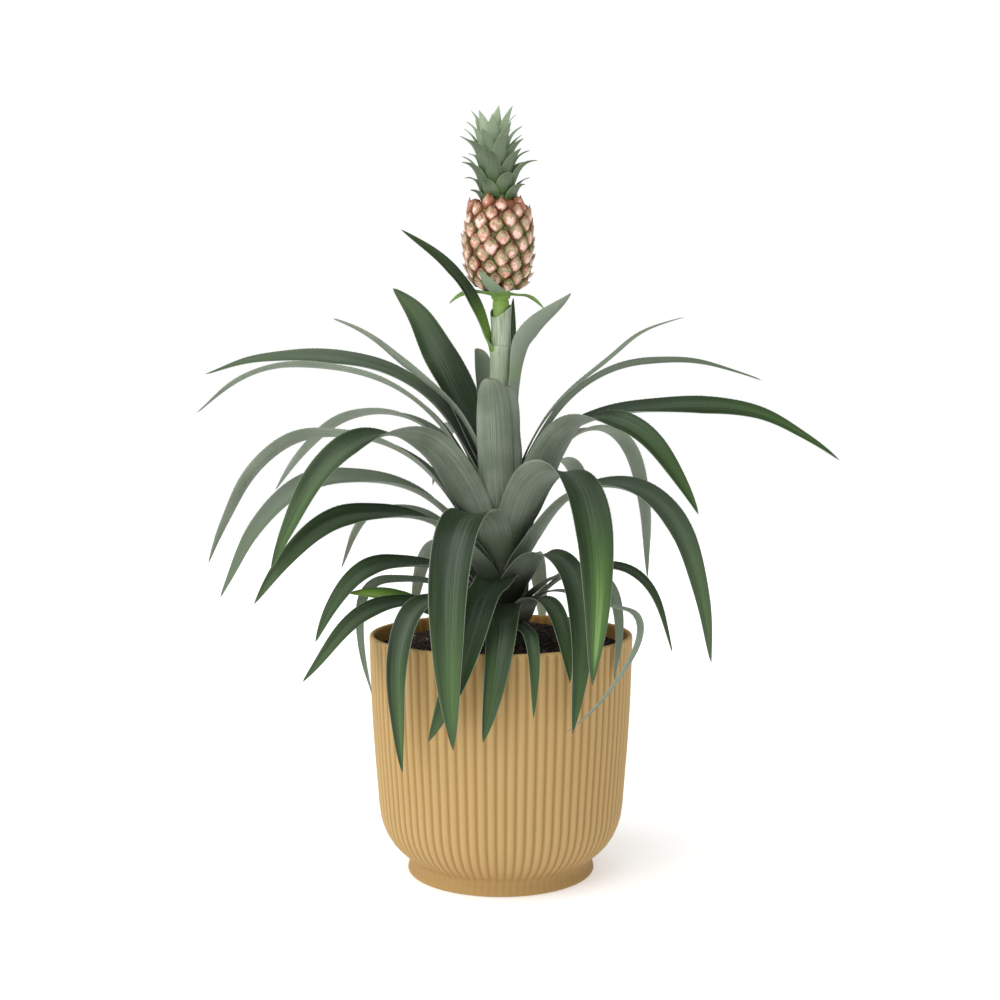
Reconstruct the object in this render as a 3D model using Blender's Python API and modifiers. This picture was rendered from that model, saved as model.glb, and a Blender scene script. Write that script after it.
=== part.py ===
"""A pineapple plant in fruit, growing in a ribbed cover pot.

Metres, +Z up. The origin is the middle of the pot's flat foot, on the surface the pot
stands on. -Y is the front. Azimuths are degrees counter-clockwise from +X seen from above,
so 270 is the front. Leaf sizes are in millimetres, as (out from the stem's axis, up).
"""
import math
from typing import NamedTuple

import bmesh
import bpy
import numpy as np
from mathutils import Vector
from mathutils.geometry import interpolate_bezier

MM = 0.001

# Pot: a 14 cm cover pot with a thin wall and a small flared foot.
POT_STEPS = 64
POT_HEIGHT = 127.0
POT_WALL = 2.5
POT_OUTSIDE = ((70.0, 126.3), (69.6, 113), (69, 91), (67.4, 66), (65.9, 47), (65, 34),
               (63.6, 28), (61.2, 21.8), (58, 16), (53, 11), (50.4, 8.8), (48.8, 6.4),
               (49.2, 3.4), (50, 1.2))
FOOT_RADIUS = 49.4
POT_FLOOR = 7.0

# Soil: fills the pot to a few millimetres below the rim, with the stem's root end in it.
SOIL_EDGE, SOIL_MIDDLE = 119.0, 121.0
CLEAR = 0.3

# Stem: (radius, height) from the fruit down to the buried end.
STEM = ((2.6, 309.7), (4.4, 309), (4.9, 299), (4.7, 288), (5.0, 265), (6.7, 251), (8.7, 238),
        (10.0, 203), (12.0, 153), (13.0, 121), (12.4, 92.5), (11.5, 91.8))
STEM_STEPS = 20

FRUIT_BASE, FRUIT_TOP = 310.0, 357.0
FRUIT_RADIUS = 18.6
FRUIT_SHIFT = -1.5
EYE_COLUMNS, EYE_ROWS = 12, 6
EYE_BUMP = 1.1

CROWN_BASE = 357.3
CROWN_LEAVES = 34
CROWN_SHIFT, CROWN_LEAN = -2.0, 4.5

LEAF_THICK = 1.2
LEAF_STATIONS = 12
CHANNEL = 20.0
BASE_HALF = 8.5


class Leaf(NamedTuple):
    """One leaf: where it leaves the stem, the top of its arch, and where its tip ends."""

    name: str
    azimuth: float
    attach: float
    lean: float
    crest: tuple
    tip: tuple
    width: float
    sweep: float = 0.0
    twist: float = 0.0
    fullness: float = 2.8
    hook: float = 0.6


LEAVES = (
    # Low leaves, which lie out over the rim.
    Leaf("leaf_low_left", 185, 125, 30, (60, 143), (90, 152), 9),
    Leaf("leaf_low_back", 100, 127, 40, (45, 151), (88, 125), 15),
    Leaf("leaf_low_front_left", 215, 130, 40, (66, 150), (118, 113), 17, 0, -30),
    Leaf("leaf_low_front_right", 300, 131, 45, (42, 149), (77, 113), 13, -6),
    Leaf("leaf_hanging_left", 232, 134, 50, (56, 150), (82, 68), 16, 3),
    Leaf("leaf_low_back_right", 75, 135, 45, (60, 163), (98, 111), 15),
    Leaf("leaf_curl_right", 319, 136, 60, (95, 157), (68, 88), 6, -30, 0, hook=4.2),
    Leaf("leaf_pale_left", 196, 138, 45, (58, 154), (78, 97), 12, 24, 20),
    Leaf("leaf_low_right", 352, 139, 48, (58, 163), (91, 118), 12, 0, 25),
    Leaf("leaf_thin_front", 280, 143, 55, (46, 153), (80, 98), 8),
    Leaf("leaf_left_d", 203, 145, 50, (62, 166), (102, 128), 16, 0, -30),
    Leaf("leaf_back_left_low", 122, 146, 50, (58, 171), (100, 121), 15),
    Leaf("leaf_pale_right", 332, 144, 46, (58, 160), (73, 115), 9, -12),
    Leaf("leaf_left_back_low", 145, 153, 50, (75, 191), (113, 154), 14),
    Leaf("leaf_front_right_low", 305, 151, 52, (43, 172), (80, 89), 14, -14),
    # Middle leaves.
    Leaf("leaf_front_mid", 269, 156, 60, (47, 167), (83, 87), 18, -11),
    Leaf("leaf_back_mid", 90, 159, 55, (70, 201), (120, 141), 16),
    Leaf("leaf_left_c", 212, 160, 55, (80, 193), (140, 152), 18, 0, -35),
    Leaf("leaf_front_glossy", 261, 164, 64, (52, 176), (72, 85), 17, -24),
    Leaf("leaf_right_c", 335, 165, 60, (63, 207), (116, 119), 18, 0, 32),
    Leaf("leaf_left_b", 194, 167, 60, (85, 210), (147, 150), 15, 0, -40),
    Leaf("leaf_back_right_mid", 62, 169, 60, (72, 217), (118, 155), 16),
    Leaf("leaf_front_big", 252, 171, 62, (46, 193), (86, 83), 24, 4),
    Leaf("leaf_left_a", 168, 174, 62, (98, 232), (167, 160), 16, 0, 25),
    Leaf("leaf_front_right_big", 300, 176, 66, (56, 215), (92, 121), 23, 4),
    Leaf("leaf_pale_back_right", 38, 179, 66, (68, 235), (108, 148), 14, 0, -15),
    Leaf("leaf_left_broad", 213, 181, 66, (66, 233), (132, 168), 21, 0, -28),
    Leaf("leaf_back_high", 108, 184, 66, (84, 237), (138, 199), 16),
    Leaf("leaf_right_broad", 330, 187, 64, (55, 241), (112, 194), 20, 0, 28),
    Leaf("leaf_left_back", 150, 190, 68, (80, 244), (153, 199), 15, 0, 15),
    # Upper leaves and the heart.
    Leaf("leaf_heart_front", 262, 192, 76, (20, 249), (24, 262), 23, 0, 0, 7),
    Leaf("leaf_right_long", 8, 197, 74, (114, 250), (188, 218), 17, 0, 40),
    Leaf("leaf_left_long_b", 176, 199, 70, (112, 269), (164, 244), 13, 0, 15),
    Leaf("leaf_heart_right", 305, 203, 78, (18, 253), (22, 263), 14, 0, 0, 4),
    Leaf("leaf_left_long_a", 163, 206, 71, (122, 275), (175, 266), 16, 0, -45),
    Leaf("leaf_right_upper_b", 14, 210, 66, (96, 274), (147, 263), 10, 0, 30),
    Leaf("leaf_left_upright", 141, 213, 70, (52, 289), (78, 314), 22, 0, -50),
    Leaf("leaf_right_upper_a", 357, 216, 70, (66, 283), (95, 295), 9, 0, 30),
    Leaf("leaf_left_thin", 186, 220, 72, (60, 277), (88, 293), 9, 0, 30),
    Leaf("leaf_heart_back", 100, 224, 80, (20, 275), (23, 277), 10),
    Leaf("leaf_back_upright", 68, 233, 82, (15, 283), (18, 306), 9),
    Leaf("leaf_right_upright", 8, 246, 70, (23, 287), (37, 306), 12, -3, -50),
    Leaf("leaf_on_stalk", 198, 271, 50, (28, 315), (55, 340), 10, 0, -70),
    # Bracts just under the fruit.
    Leaf("bract_left", 168, 303, 22, (18, 306.5), (28, 302), 7, 0, -30),
    Leaf("bract_front", 262, 301, 25, (19, 307), (23, 316), 7.5, -7),
    Leaf("bract_right", 350, 304, 12, (13, 305.4), (23, 298.5), 7, 0, 30),
)


def material(name: str, colour: tuple, roughness: float) -> bpy.types.Material:
    """A plain material for one kind of surface."""
    made = bpy.data.materials.new(name)
    made.use_nodes = True
    shader = made.node_tree.nodes["Principled BSDF"]
    shader.inputs["Base Color"].default_value = (*colour, 1)
    shader.inputs["Roughness"].default_value = roughness
    shader.inputs["Metallic"].default_value = 0
    return made


def add(name: str, mesh: bpy.types.Mesh, surface: bpy.types.Material,
        group: bpy.types.Collection) -> bpy.types.Object:
    """Puts a mesh in the scene as one named piece."""
    obj = bpy.data.objects.new(name, mesh)
    mesh.materials.append(surface)
    mesh.shade_smooth()
    group.objects.link(obj)
    return obj


def turned(name: str, profile: list, steps: int, surface: bpy.types.Material,
           group: bpy.types.Collection) -> bpy.types.Object:
    """A turned piece from its (radius, height) profile, which ends on the axis both times."""
    mesh = bpy.data.meshes.new(name)
    points = [(r * MM, 0, z * MM) for r, z in profile]
    mesh.from_pydata(points, [(i, i + 1) for i in range(len(points) - 1)], [])
    obj = add(name, mesh, surface, group)
    screw = obj.modifiers.new("turn", "SCREW")
    screw.angle = math.tau
    screw.steps = screw.render_steps = steps
    screw.use_merge_vertices = True
    screw.merge_threshold = 0.00001
    return obj


def radius_of_stem(height: float) -> float:
    """The stem's radius at a height, both in millimetres."""
    heights = [z for _, z in STEM][::-1]
    return float(np.interp(height, heights, [r for r, _ in STEM][::-1]))


def spine_of(leaf: Leaf) -> np.ndarray:
    """The leaf's middle line as evenly spaced (out, up) points."""
    start = Vector((radius_of_stem(leaf.attach) * 1.05 + 0.7, leaf.attach))
    crest, tip = Vector(leaf.crest), Vector(leaf.tip)
    lean = math.radians(leaf.lean)
    rise = (crest - start).length
    arch = Vector((1, 0))
    if tip.y > crest.y:
        arch = (tip - start).normalized()
    first = interpolate_bezier(
        start, start + Vector((math.cos(lean), math.sin(lean))) * rise * 0.45,
        crest - arch * (crest.x - start.x) * 0.5, crest, 24)
    fall = tip - crest
    down = (fall.normalized() + (fall.normalized() - arch) * leaf.hook).normalized()
    second = interpolate_bezier(
        crest, crest + arch * fall.length * 0.4, tip - down * fall.length * 0.35, tip, 24)
    line = np.array([tuple(p) for p in first + second[1:]])
    along = np.concatenate([[0], np.cumsum(np.linalg.norm(np.diff(line, axis=0), axis=1))])
    even = np.linspace(0, along[-1], LEAF_STATIONS)
    return np.stack([np.interp(even, along, line[:, i]) for i in (0, 1)], axis=1)


def half_width(leaf: Leaf, share: float) -> float:
    """Half the blade's width at a share of its length: a clasping base, then a long taper."""
    base = min(BASE_HALF, leaf.width * 0.62)
    blade = leaf.width / 2 * (1 - share ** leaf.fullness) ** 0.8
    blend = min(1.0, share / 0.22)
    return max(0.45, base * (1 - blend) + blade * blend)


def blade(leaf: Leaf, surface: bpy.types.Material, group: bpy.types.Collection):
    """One leaf: an open channelled strip along its spine, given its thickness by Solidify."""
    line = spine_of(leaf)
    turn = math.radians(leaf.azimuth)
    out, side = Vector((math.cos(turn), math.sin(turn), 0)), Vector((-math.sin(turn), math.cos(turn), 0))
    middle = [out * r + side * leaf.sweep * (i / (LEAF_STATIONS - 1)) ** 2 + Vector((0, 0, z))
              for i, (r, z) in enumerate(line)]
    rows = []
    for i, point in enumerate(middle):
        share = i / (LEAF_STATIONS - 1)
        ahead = (middle[min(i + 1, len(middle) - 1)] - middle[max(i - 1, 0)]).normalized()
        across = (side - ahead * side.dot(ahead)).normalized()
        up = across.cross(ahead) * -1
        angle = math.radians(leaf.twist) * min(1.0, share * 1.7) ** 2
        across, up = (across * math.cos(angle) + up * math.sin(angle),
                      up * math.cos(angle) - across * math.sin(angle))
        reach = half_width(leaf, share)
        raised = up * reach * math.sin(math.radians(CHANNEL))
        spread = across * reach * math.cos(math.radians(CHANNEL))
        rows.append([point + raised - spread, point, point + raised + spread])
    mesh = bpy.data.meshes.new(leaf.name)
    points = [p * MM for row in rows for p in row]
    faces = [(3 * i + j, 3 * i + j + 1, 3 * i + j + 4, 3 * i + j + 3)
             for i in range(LEAF_STATIONS - 1) for j in range(2)]
    mesh.from_pydata(points, [], faces)
    obj = add(leaf.name, mesh, surface, group)
    shell = obj.modifiers.new("thickness", "SOLIDIFY")
    shell.thickness = LEAF_THICK * MM
    shell.offset = 0
    return obj


def fruit(surface: bpy.types.Material, group: bpy.types.Collection) -> bpy.types.Object:
    """A barrel with a staggered bump for each eye."""
    form = bmesh.new()
    bmesh.ops.create_uvsphere(form, u_segments=EYE_COLUMNS * 2, v_segments=EYE_ROWS * 2, radius=1)
    for vert in form.verts:
        level = math.acos(max(-1.0, min(1.0, vert.co.z))) / math.pi
        turn = math.atan2(vert.co.y, vert.co.x)
        height = FRUIT_TOP - level * (FRUIT_TOP - FRUIT_BASE)
        barrel = FRUIT_RADIUS * math.sin(math.pi * level) ** 0.26 * (1.03 - 0.2 * level ** 2)
        wave = math.cos(EYE_COLUMNS * turn + math.pi * round(level * EYE_ROWS * 2))
        reach = barrel + EYE_BUMP * wave if 0.02 < level < 0.98 else 0
        vert.co = Vector((math.cos(turn) * reach + FRUIT_SHIFT, math.sin(turn) * reach, height)) * MM
    bmesh.ops.poke(form, faces=[face for face in form.faces if len(face.verts) == 4])
    mesh = bpy.data.meshes.new("fruit")
    form.to_mesh(mesh)
    form.free()
    return add("fruit", mesh, surface, group)


def spike(root: Vector, out: Vector, rise: float, length: float, width: float) -> tuple:
    """A short pointed leaf as a closed diamond-section piece: its points and faces."""
    points, faces = [], []
    across = Vector((-out.y, out.x, 0))
    for share, wide, thick in ((0, 0.8, 2.0), (0.4, 1, 1.6), (0.8, 0.5, 1.0)):
        angle = rise - 0.5 * share
        ahead = out * math.cos(angle) + Vector((0, 0, math.sin(angle)))
        face = out * -math.sin(angle) + Vector((0, 0, math.cos(angle)))
        at = root + ahead * length * share
        points += [at - across * width * wide / 2, at + face * thick / 2,
                   at + across * width * wide / 2, at - face * thick / 2]
    points.append(root + (out * math.cos(rise - 0.5) + Vector((0, 0, math.sin(rise - 0.5)))) * length)
    faces.append((0, 1, 2, 3))
    for ring in (0, 4):
        faces += [(ring + i, ring + 4 + i, ring + 4 + (i + 1) % 4, ring + (i + 1) % 4) for i in range(4)]
    faces += [(8 + i, 12, 8 + (i + 1) % 4) for i in range(4)]
    return points, faces


def crown(surface: bpy.types.Material, group: bpy.types.Collection,
          tools: bpy.types.Collection) -> bpy.types.Object:
    """The tuft on the fruit: short leaves on a golden-angle spiral, joined to a cone core."""
    core = turned("crown_core", [(0, CROWN_BASE + 34), (5, CROWN_BASE + 33), (8.5, CROWN_BASE + 14),
                                 (9.5, CROWN_BASE + 4), (8, CROWN_BASE), (0, CROWN_BASE)],
                  16, surface, tools)
    core.hide_render = True
    core.display_type = "WIRE"
    core.location.x = CROWN_SHIFT * MM
    points, faces = [], []
    for i in range(CROWN_LEAVES):
        share = i / (CROWN_LEAVES - 1)
        turn = math.radians(137.5) * i
        out = Vector((math.cos(turn), math.sin(turn), 0))
        lean = CROWN_SHIFT - CROWN_LEAN * share
        root = out * (7.2 - 4 * share) + Vector((lean, 0, CROWN_BASE + 2 + 26 * share))
        length = 12 + 11 * math.sin(math.pi * min(1, share * 1.1) * 0.62)
        new, shell = spike(root, out, math.radians(60 + 36 * share), length, 10.5 - 2 * share)
        faces += [tuple(len(points) + k for k in face) for face in shell]
        points += new
    mesh = bpy.data.meshes.new("crown")
    mesh.from_pydata([p * MM for p in points], [], faces)
    form = bmesh.new()
    form.from_mesh(mesh)
    bmesh.ops.recalc_face_normals(form, faces=form.faces)
    form.to_mesh(mesh)
    form.free()
    tuft = add("crown", mesh, surface, group)
    union = tuft.modifiers.new("join", "BOOLEAN")
    union.operation = "UNION"
    union.object = core
    union.use_self = True
    return tuft


def main() -> None:
    """Builds the plant and its pot."""
    for obj in list(bpy.data.objects):
        bpy.data.objects.remove(obj)
    plant = bpy.data.collections.new("potted_pineapple")
    bpy.context.scene.collection.children.link(plant)
    tools = bpy.data.collections.new("cutters")
    bpy.context.scene.collection.children.link(tools)

    glaze = material("pot_tan", (0.62, 0.42, 0.19), 0.6)
    earth = material("soil", (0.035, 0.025, 0.018), 0.95)
    green = material("leaf_green", (0.10, 0.16, 0.07), 0.45)
    stalk = material("stalk_green", (0.25, 0.33, 0.12), 0.5)
    skin = material("fruit_skin", (0.62, 0.28, 0.2), 0.6)

    inside = [(r - POT_WALL, z) for r, z in POT_OUTSIDE if z > 15]
    floor = POT_FLOOR
    pot = ([(0, floor), (46, floor), (52, floor + 6)] + inside[::-1]
           + [(69.6 - POT_WALL / 2, POT_HEIGHT)] + list(POT_OUTSIDE) + [(FOOT_RADIUS, 0), (0, 0)])
    turned("pot", pot, POT_STEPS, glaze, plant)

    wall = [(r - CLEAR, z) for r, z in inside if z < SOIL_EDGE - 1]
    hole = STEM[-3][0] + CLEAR + 0.2
    edge = 67.1 - CLEAR - 0.1
    soil = ([(0, 91.8 - CLEAR), (hole, 91.8 - CLEAR), (hole, SOIL_MIDDLE), (40, SOIL_MIDDLE - 0.3),
             (edge, SOIL_EDGE)] + wall + [(51.6, floor + 6), (45.8, floor + CLEAR), (0, floor + CLEAR)])
    turned("soil", soil, POT_STEPS, earth, plant)

    turned("stem", [(0, STEM[0][1])] + list(STEM) + [(0, STEM[-1][1])], STEM_STEPS, stalk, plant)
    fruit(skin, plant)
    crown(green, plant, tools)
    for leaf in LEAVES:
        blade(leaf, green, plant)


main()
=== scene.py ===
"""Looks for a small pineapple plant in a ribbed plastic pot.

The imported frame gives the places. The pot, the soil, the stalk, the fruit, its crown and each leaf
are built here, in millimetres, and ride on the frame's one body.
"""

import logging
import math
import random
from dataclasses import dataclass, field
from enum import Enum
from typing import Any

import bpy
import numpy as np
from mathutils import Matrix, Vector
from mathutils.geometry import interpolate_bezier

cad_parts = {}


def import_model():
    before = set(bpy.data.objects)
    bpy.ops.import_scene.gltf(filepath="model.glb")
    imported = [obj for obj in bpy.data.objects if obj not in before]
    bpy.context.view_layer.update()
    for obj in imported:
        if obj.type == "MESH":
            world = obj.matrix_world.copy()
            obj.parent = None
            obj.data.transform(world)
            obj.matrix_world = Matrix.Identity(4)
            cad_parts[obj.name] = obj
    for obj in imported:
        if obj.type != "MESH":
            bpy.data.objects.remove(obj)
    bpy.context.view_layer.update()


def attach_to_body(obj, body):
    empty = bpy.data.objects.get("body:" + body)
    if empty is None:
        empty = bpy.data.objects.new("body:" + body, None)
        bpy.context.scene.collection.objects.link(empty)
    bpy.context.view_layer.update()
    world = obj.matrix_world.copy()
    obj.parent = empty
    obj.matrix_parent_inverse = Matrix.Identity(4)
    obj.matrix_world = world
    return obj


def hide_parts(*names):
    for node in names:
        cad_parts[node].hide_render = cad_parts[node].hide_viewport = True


LOG = logging.getLogger("pineapple")
MM = 0.001
BODY = "root"
GOLDEN = math.radians(137.508)
STALK_LINE = ((91.5, 11.5), (92.5, 12.4), (121, 13), (153, 12), (203, 10), (238, 8.6), (251, 6.6),
              (265, 4.8), (288, 4.2), (299, 4.2), (309, 4.0), (310, 2.6))

Colour = tuple[float, float, float]
Profile = tuple[tuple[float, float], ...]


class Slot(Enum):
    """The material slots."""

    POT = "pot"
    SOIL = "soil"
    STEM = "stem"
    LEAF = "leaf"
    BRACT = "bract"
    FRUIT = "fruit"
    CROWN = "crown"


class Value(Enum):
    """Names of the values that points carry for their finish."""

    SHARE = "share"
    UNDER = "under"
    FRESH = "fresh"
    PALE = "pale"
    LUCK = "luck"
    OUTWARD = "outward"
    MARGIN = "margin"
    RIB = "rib"
    RIBBED = "ribbed"
    SHEATH = "sheath"
    EYE = "eye_at"
    TURN = "turn"
    SIZE = "size"
    GRAIN = "grain"


def smooth(low: float, high: float, value: Any) -> Any:
    """Rises smoothly from 0 at low to 1 at high.

    Args:
        low: Where the rise starts.
        high: Where it ends.
        value: A number or an array of them.

    Returns:
        The smoothed share, of the same shape as value.
    """
    share = np.clip((np.asarray(value, float) - low) / (high - low), 0, 1)
    return share * share * (3 - 2 * share)


def stalk_radius(height: Any) -> Any:
    """The stalk's radius at a height, both in millimetres."""
    return np.interp(height, [z for z, _ in STALK_LINE], [r for _, r in STALK_LINE])


@dataclass
class Shell:
    """A mesh in the making: points in millimetres, its faces, and what each point carries."""

    points: np.ndarray
    faces: list[tuple[int, ...]]
    uv: np.ndarray
    values: dict[Value, np.ndarray] = field(default_factory=dict)

    @staticmethod
    def joined(shells: "list[Shell]") -> "Shell":
        """Puts shells that carry the same values into one.

        Args:
            shells: The shells to put together.

        Returns:
            One shell with all their points and faces.
        """
        faces, start = [], 0
        for shell in shells:
            faces += [tuple(start + k for k in face) for face in shell.faces]
            start += len(shell.points)
        values = {key: np.concatenate([s.values[key] for s in shells]) for key in shells[0].values}
        return Shell(np.concatenate([s.points for s in shells]), faces,
                     np.concatenate([s.uv for s in shells]), values)

    def mesh(self, name: str) -> bpy.types.Mesh:
        """Makes the mesh, in metres, with smooth faces, a UV map and its values.

        Args:
            name: The mesh's name.

        Returns:
            The new mesh.
        """
        mesh = bpy.data.meshes.new(name)
        mesh.from_pydata((self.points * MM).tolist(), [], self.faces)
        corners = np.zeros(len(mesh.loops), np.int32)
        mesh.loops.foreach_get("vertex_index", corners)
        if len(corners):
            layer = mesh.uv_layers.new(name="along")
            layer.uv.foreach_set("vector", self.uv[corners].astype(np.float32).ravel())
            mesh.polygons.foreach_set("use_smooth", [True] * len(mesh.polygons))
        kinds = {1: ("FLOAT", "value"), 3: ("FLOAT_VECTOR", "vector"), 4: ("QUATERNION", "value")}
        for key, value in self.values.items():
            kind, member = kinds[1 if value.ndim == 1 else value.shape[1]]
            layer = mesh.attributes.new(key.value, kind, "POINT")
            layer.data.foreach_set(member, value.astype(np.float32).ravel())
        mesh.update()
        return mesh

    def piece(self, name: str, *finishes: bpy.types.Material) -> bpy.types.Object:
        """Makes the mesh an object of the scene.

        Args:
            name: The object's name.
            *finishes: Its materials.

        Returns:
            The new object, at the origin.
        """
        made = bpy.data.objects.new(name, self.mesh(name))
        for finish in finishes:
            made.data.materials.append(finish)
        bpy.context.scene.collection.objects.link(made)
        return made


def settle(piece: bpy.types.Object, slot: Slot, *nodes: str) -> None:
    """Rides a piece on the body and names what it stands for.

    Args:
        piece: The finished piece.
        slot: The material slot meant for the piece; not used.
        *nodes: The frame's nodes it stands for.
    """
    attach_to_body(piece, BODY)
    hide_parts(*nodes)
    LOG.info("%s: %d faces for %s", piece.name, len(piece.data.polygons), ", ".join(nodes))


def turned(profile: list[tuple[float, float]], columns: int, centre: float = 0.0) -> Shell:
    """Turns a closed profile round the axis, with a pole at each end.

    Args:
        profile: (radius, height) pairs from the bottom pole to the top pole, radius 0 at both ends.
        columns: How many columns go round.
        centre: How far the axis stands along X.

    Returns:
        The closed shell, its UV running round and up.
    """
    turns = np.arange(columns) * 2 * math.pi / columns
    rings = [np.stack([centre + r * np.sin(turns), -r * np.cos(turns), np.full(columns, z)], 1)
             for r, z in profile[1:-1]]
    ends = np.array([[centre, 0, profile[0][1]], [centre, 0, profile[-1][1]]])
    count = len(rings)
    faces: list[tuple[int, ...]] = []
    for k in range(columns):
        after = (k + 1) % columns
        faces.append((count * columns, after, k))
        for row in range(count - 1):
            low, high = row * columns, (row + 1) * columns
            faces.append((low + k, low + after, high + after, high + k))
        last = (count - 1) * columns
        faces.append((last + k, last + after, count * columns + 1))
    uv = np.array([[k / columns, z / 100] for _, z in profile[1:-1] for k in range(columns)]
                  + [[0.5, profile[0][1] / 100], [0.5, profile[-1][1] / 100]])
    return Shell(np.concatenate(rings + [ends]), faces, uv)


@dataclass
class Ribbon:
    """A closed blade lofted along a path, its section an arc that ends in thin margins."""

    path: np.ndarray
    across: np.ndarray
    up: np.ndarray
    half: np.ndarray
    bend: np.ndarray
    thick: np.ndarray
    share: np.ndarray
    columns: int = 13
    edge: float = 0.22

    def shell(self, flutter: float = 0.0, phase: float = 0.0) -> Shell:
        """Lofts the blade and closes it at the foot and at the tip.

        Args:
            flutter: How far the margins wave, in millimetres.
            phase: Where along the wave the foot stands.

        Returns:
            The closed shell, with its share along, its underside and its outward direction.
        """
        rows, span = len(self.path) - 1, np.sin(np.linspace(-1, 1, self.columns) * math.pi / 2)
        ring = list(range(self.columns)) + list(range(self.columns - 2, 0, -1))
        under = np.array([0.5] + [0] * (self.columns - 2) + [0.5] + [1] * (self.columns - 2))
        lift = np.where(under == 0.5, 0.0, 0.5 - under)
        v = span[ring]
        step = np.r_[0, np.cumsum(np.linalg.norm(np.diff(self.path, axis=0), axis=1))]
        theta = v[None, :] * (self.half / self.bend)[:, None]
        body = (1 - np.abs(v) ** 2.4) ** 0.6 * (1 - self.edge) + self.edge
        side = (np.sin(theta) * self.bend[:, None] - np.sin(theta) * lift * self.thick[:, None] * body)
        wave = flutter * np.abs(v) ** 3 * np.sin(step / 6.5 + phase)[:, None] * self.share[:, None]
        rise = (1 - np.cos(theta)) * self.bend[:, None] + wave
        rise += np.cos(theta) * lift * self.thick[:, None] * body
        at = (self.path[:, None] + self.across[:, None] * side[..., None]
              + self.up[:, None] * rise[..., None])
        out = (self.across[:, None] * np.cos(theta)[..., None]
               + self.up[:, None] * np.sin(theta)[..., None]) * np.sign(v)[None, :, None]
        size = len(ring)
        points = np.concatenate([at[:rows].reshape(-1, 3), self.path[-1:]])
        faces: list[tuple[int, ...]] = [tuple(range(size))]
        for row in range(rows - 1):
            low, high = row * size, (row + 1) * size
            faces += [(low + k, high + k, high + (k + 1) % size, low + (k + 1) % size)
                      for k in range(size)]
        low, tip = (rows - 1) * size, rows * size
        faces += [(low + k, tip, low + (k + 1) % size) for k in range(size)]
        grid = np.stack(np.broadcast_arrays(step[:rows, None] / 100, (v[None] + 1) / 2), -1)
        uv = np.concatenate([grid.reshape(-1, 2), [[step[-1] / 100, 0.5]]])
        share = np.r_[np.repeat(self.share[:rows], size), self.share[-1]]
        force = np.clip(1.15 - share, 0, 1) ** 0.5
        outward = np.concatenate([out[:rows].reshape(-1, 3), [[0, 0, 1]]]) * force[:, None]
        return Shell(points, faces, uv, {Value.SHARE: share, Value.OUTWARD: outward,
                                         Value.UNDER: np.r_[np.tile(under, rows), 0.5]})


def frames(path: np.ndarray, side: np.ndarray) -> tuple[np.ndarray, np.ndarray]:
    """Finds the across and up directions of a blade that follows a path.

    Args:
        path: Its points.
        side: The direction that the blade is level in.

    Returns:
        The across and the up directions, one of each for every point.
    """
    ahead = np.gradient(path, axis=0)
    ahead /= np.linalg.norm(ahead, axis=1, keepdims=True)
    across = side[None] - ahead * (ahead @ side)[:, None]
    across /= np.linalg.norm(across, axis=1, keepdims=True)
    return across, np.cross(ahead, across)


def evened(line: np.ndarray, count: int, ease: int) -> np.ndarray:
    """Spaces points evenly along a line.

    Args:
        line: The points of the line.
        count: How many points to return.
        ease: How many times corners are rounded.

    Returns:
        The evenly spaced points.
    """
    for _ in range(2):
        step = np.r_[0, np.cumsum(np.linalg.norm(np.diff(line, axis=0), axis=1))]
        marks = np.linspace(0, step[-1], count)
        line = np.stack([np.interp(marks, step, line[:, k]) for k in range(line.shape[1])], 1)
        for _ in range(ease):
            line[1:-1] = (line[:-2] + 2 * line[1:-1] + line[2:]) / 4
    return line


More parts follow.
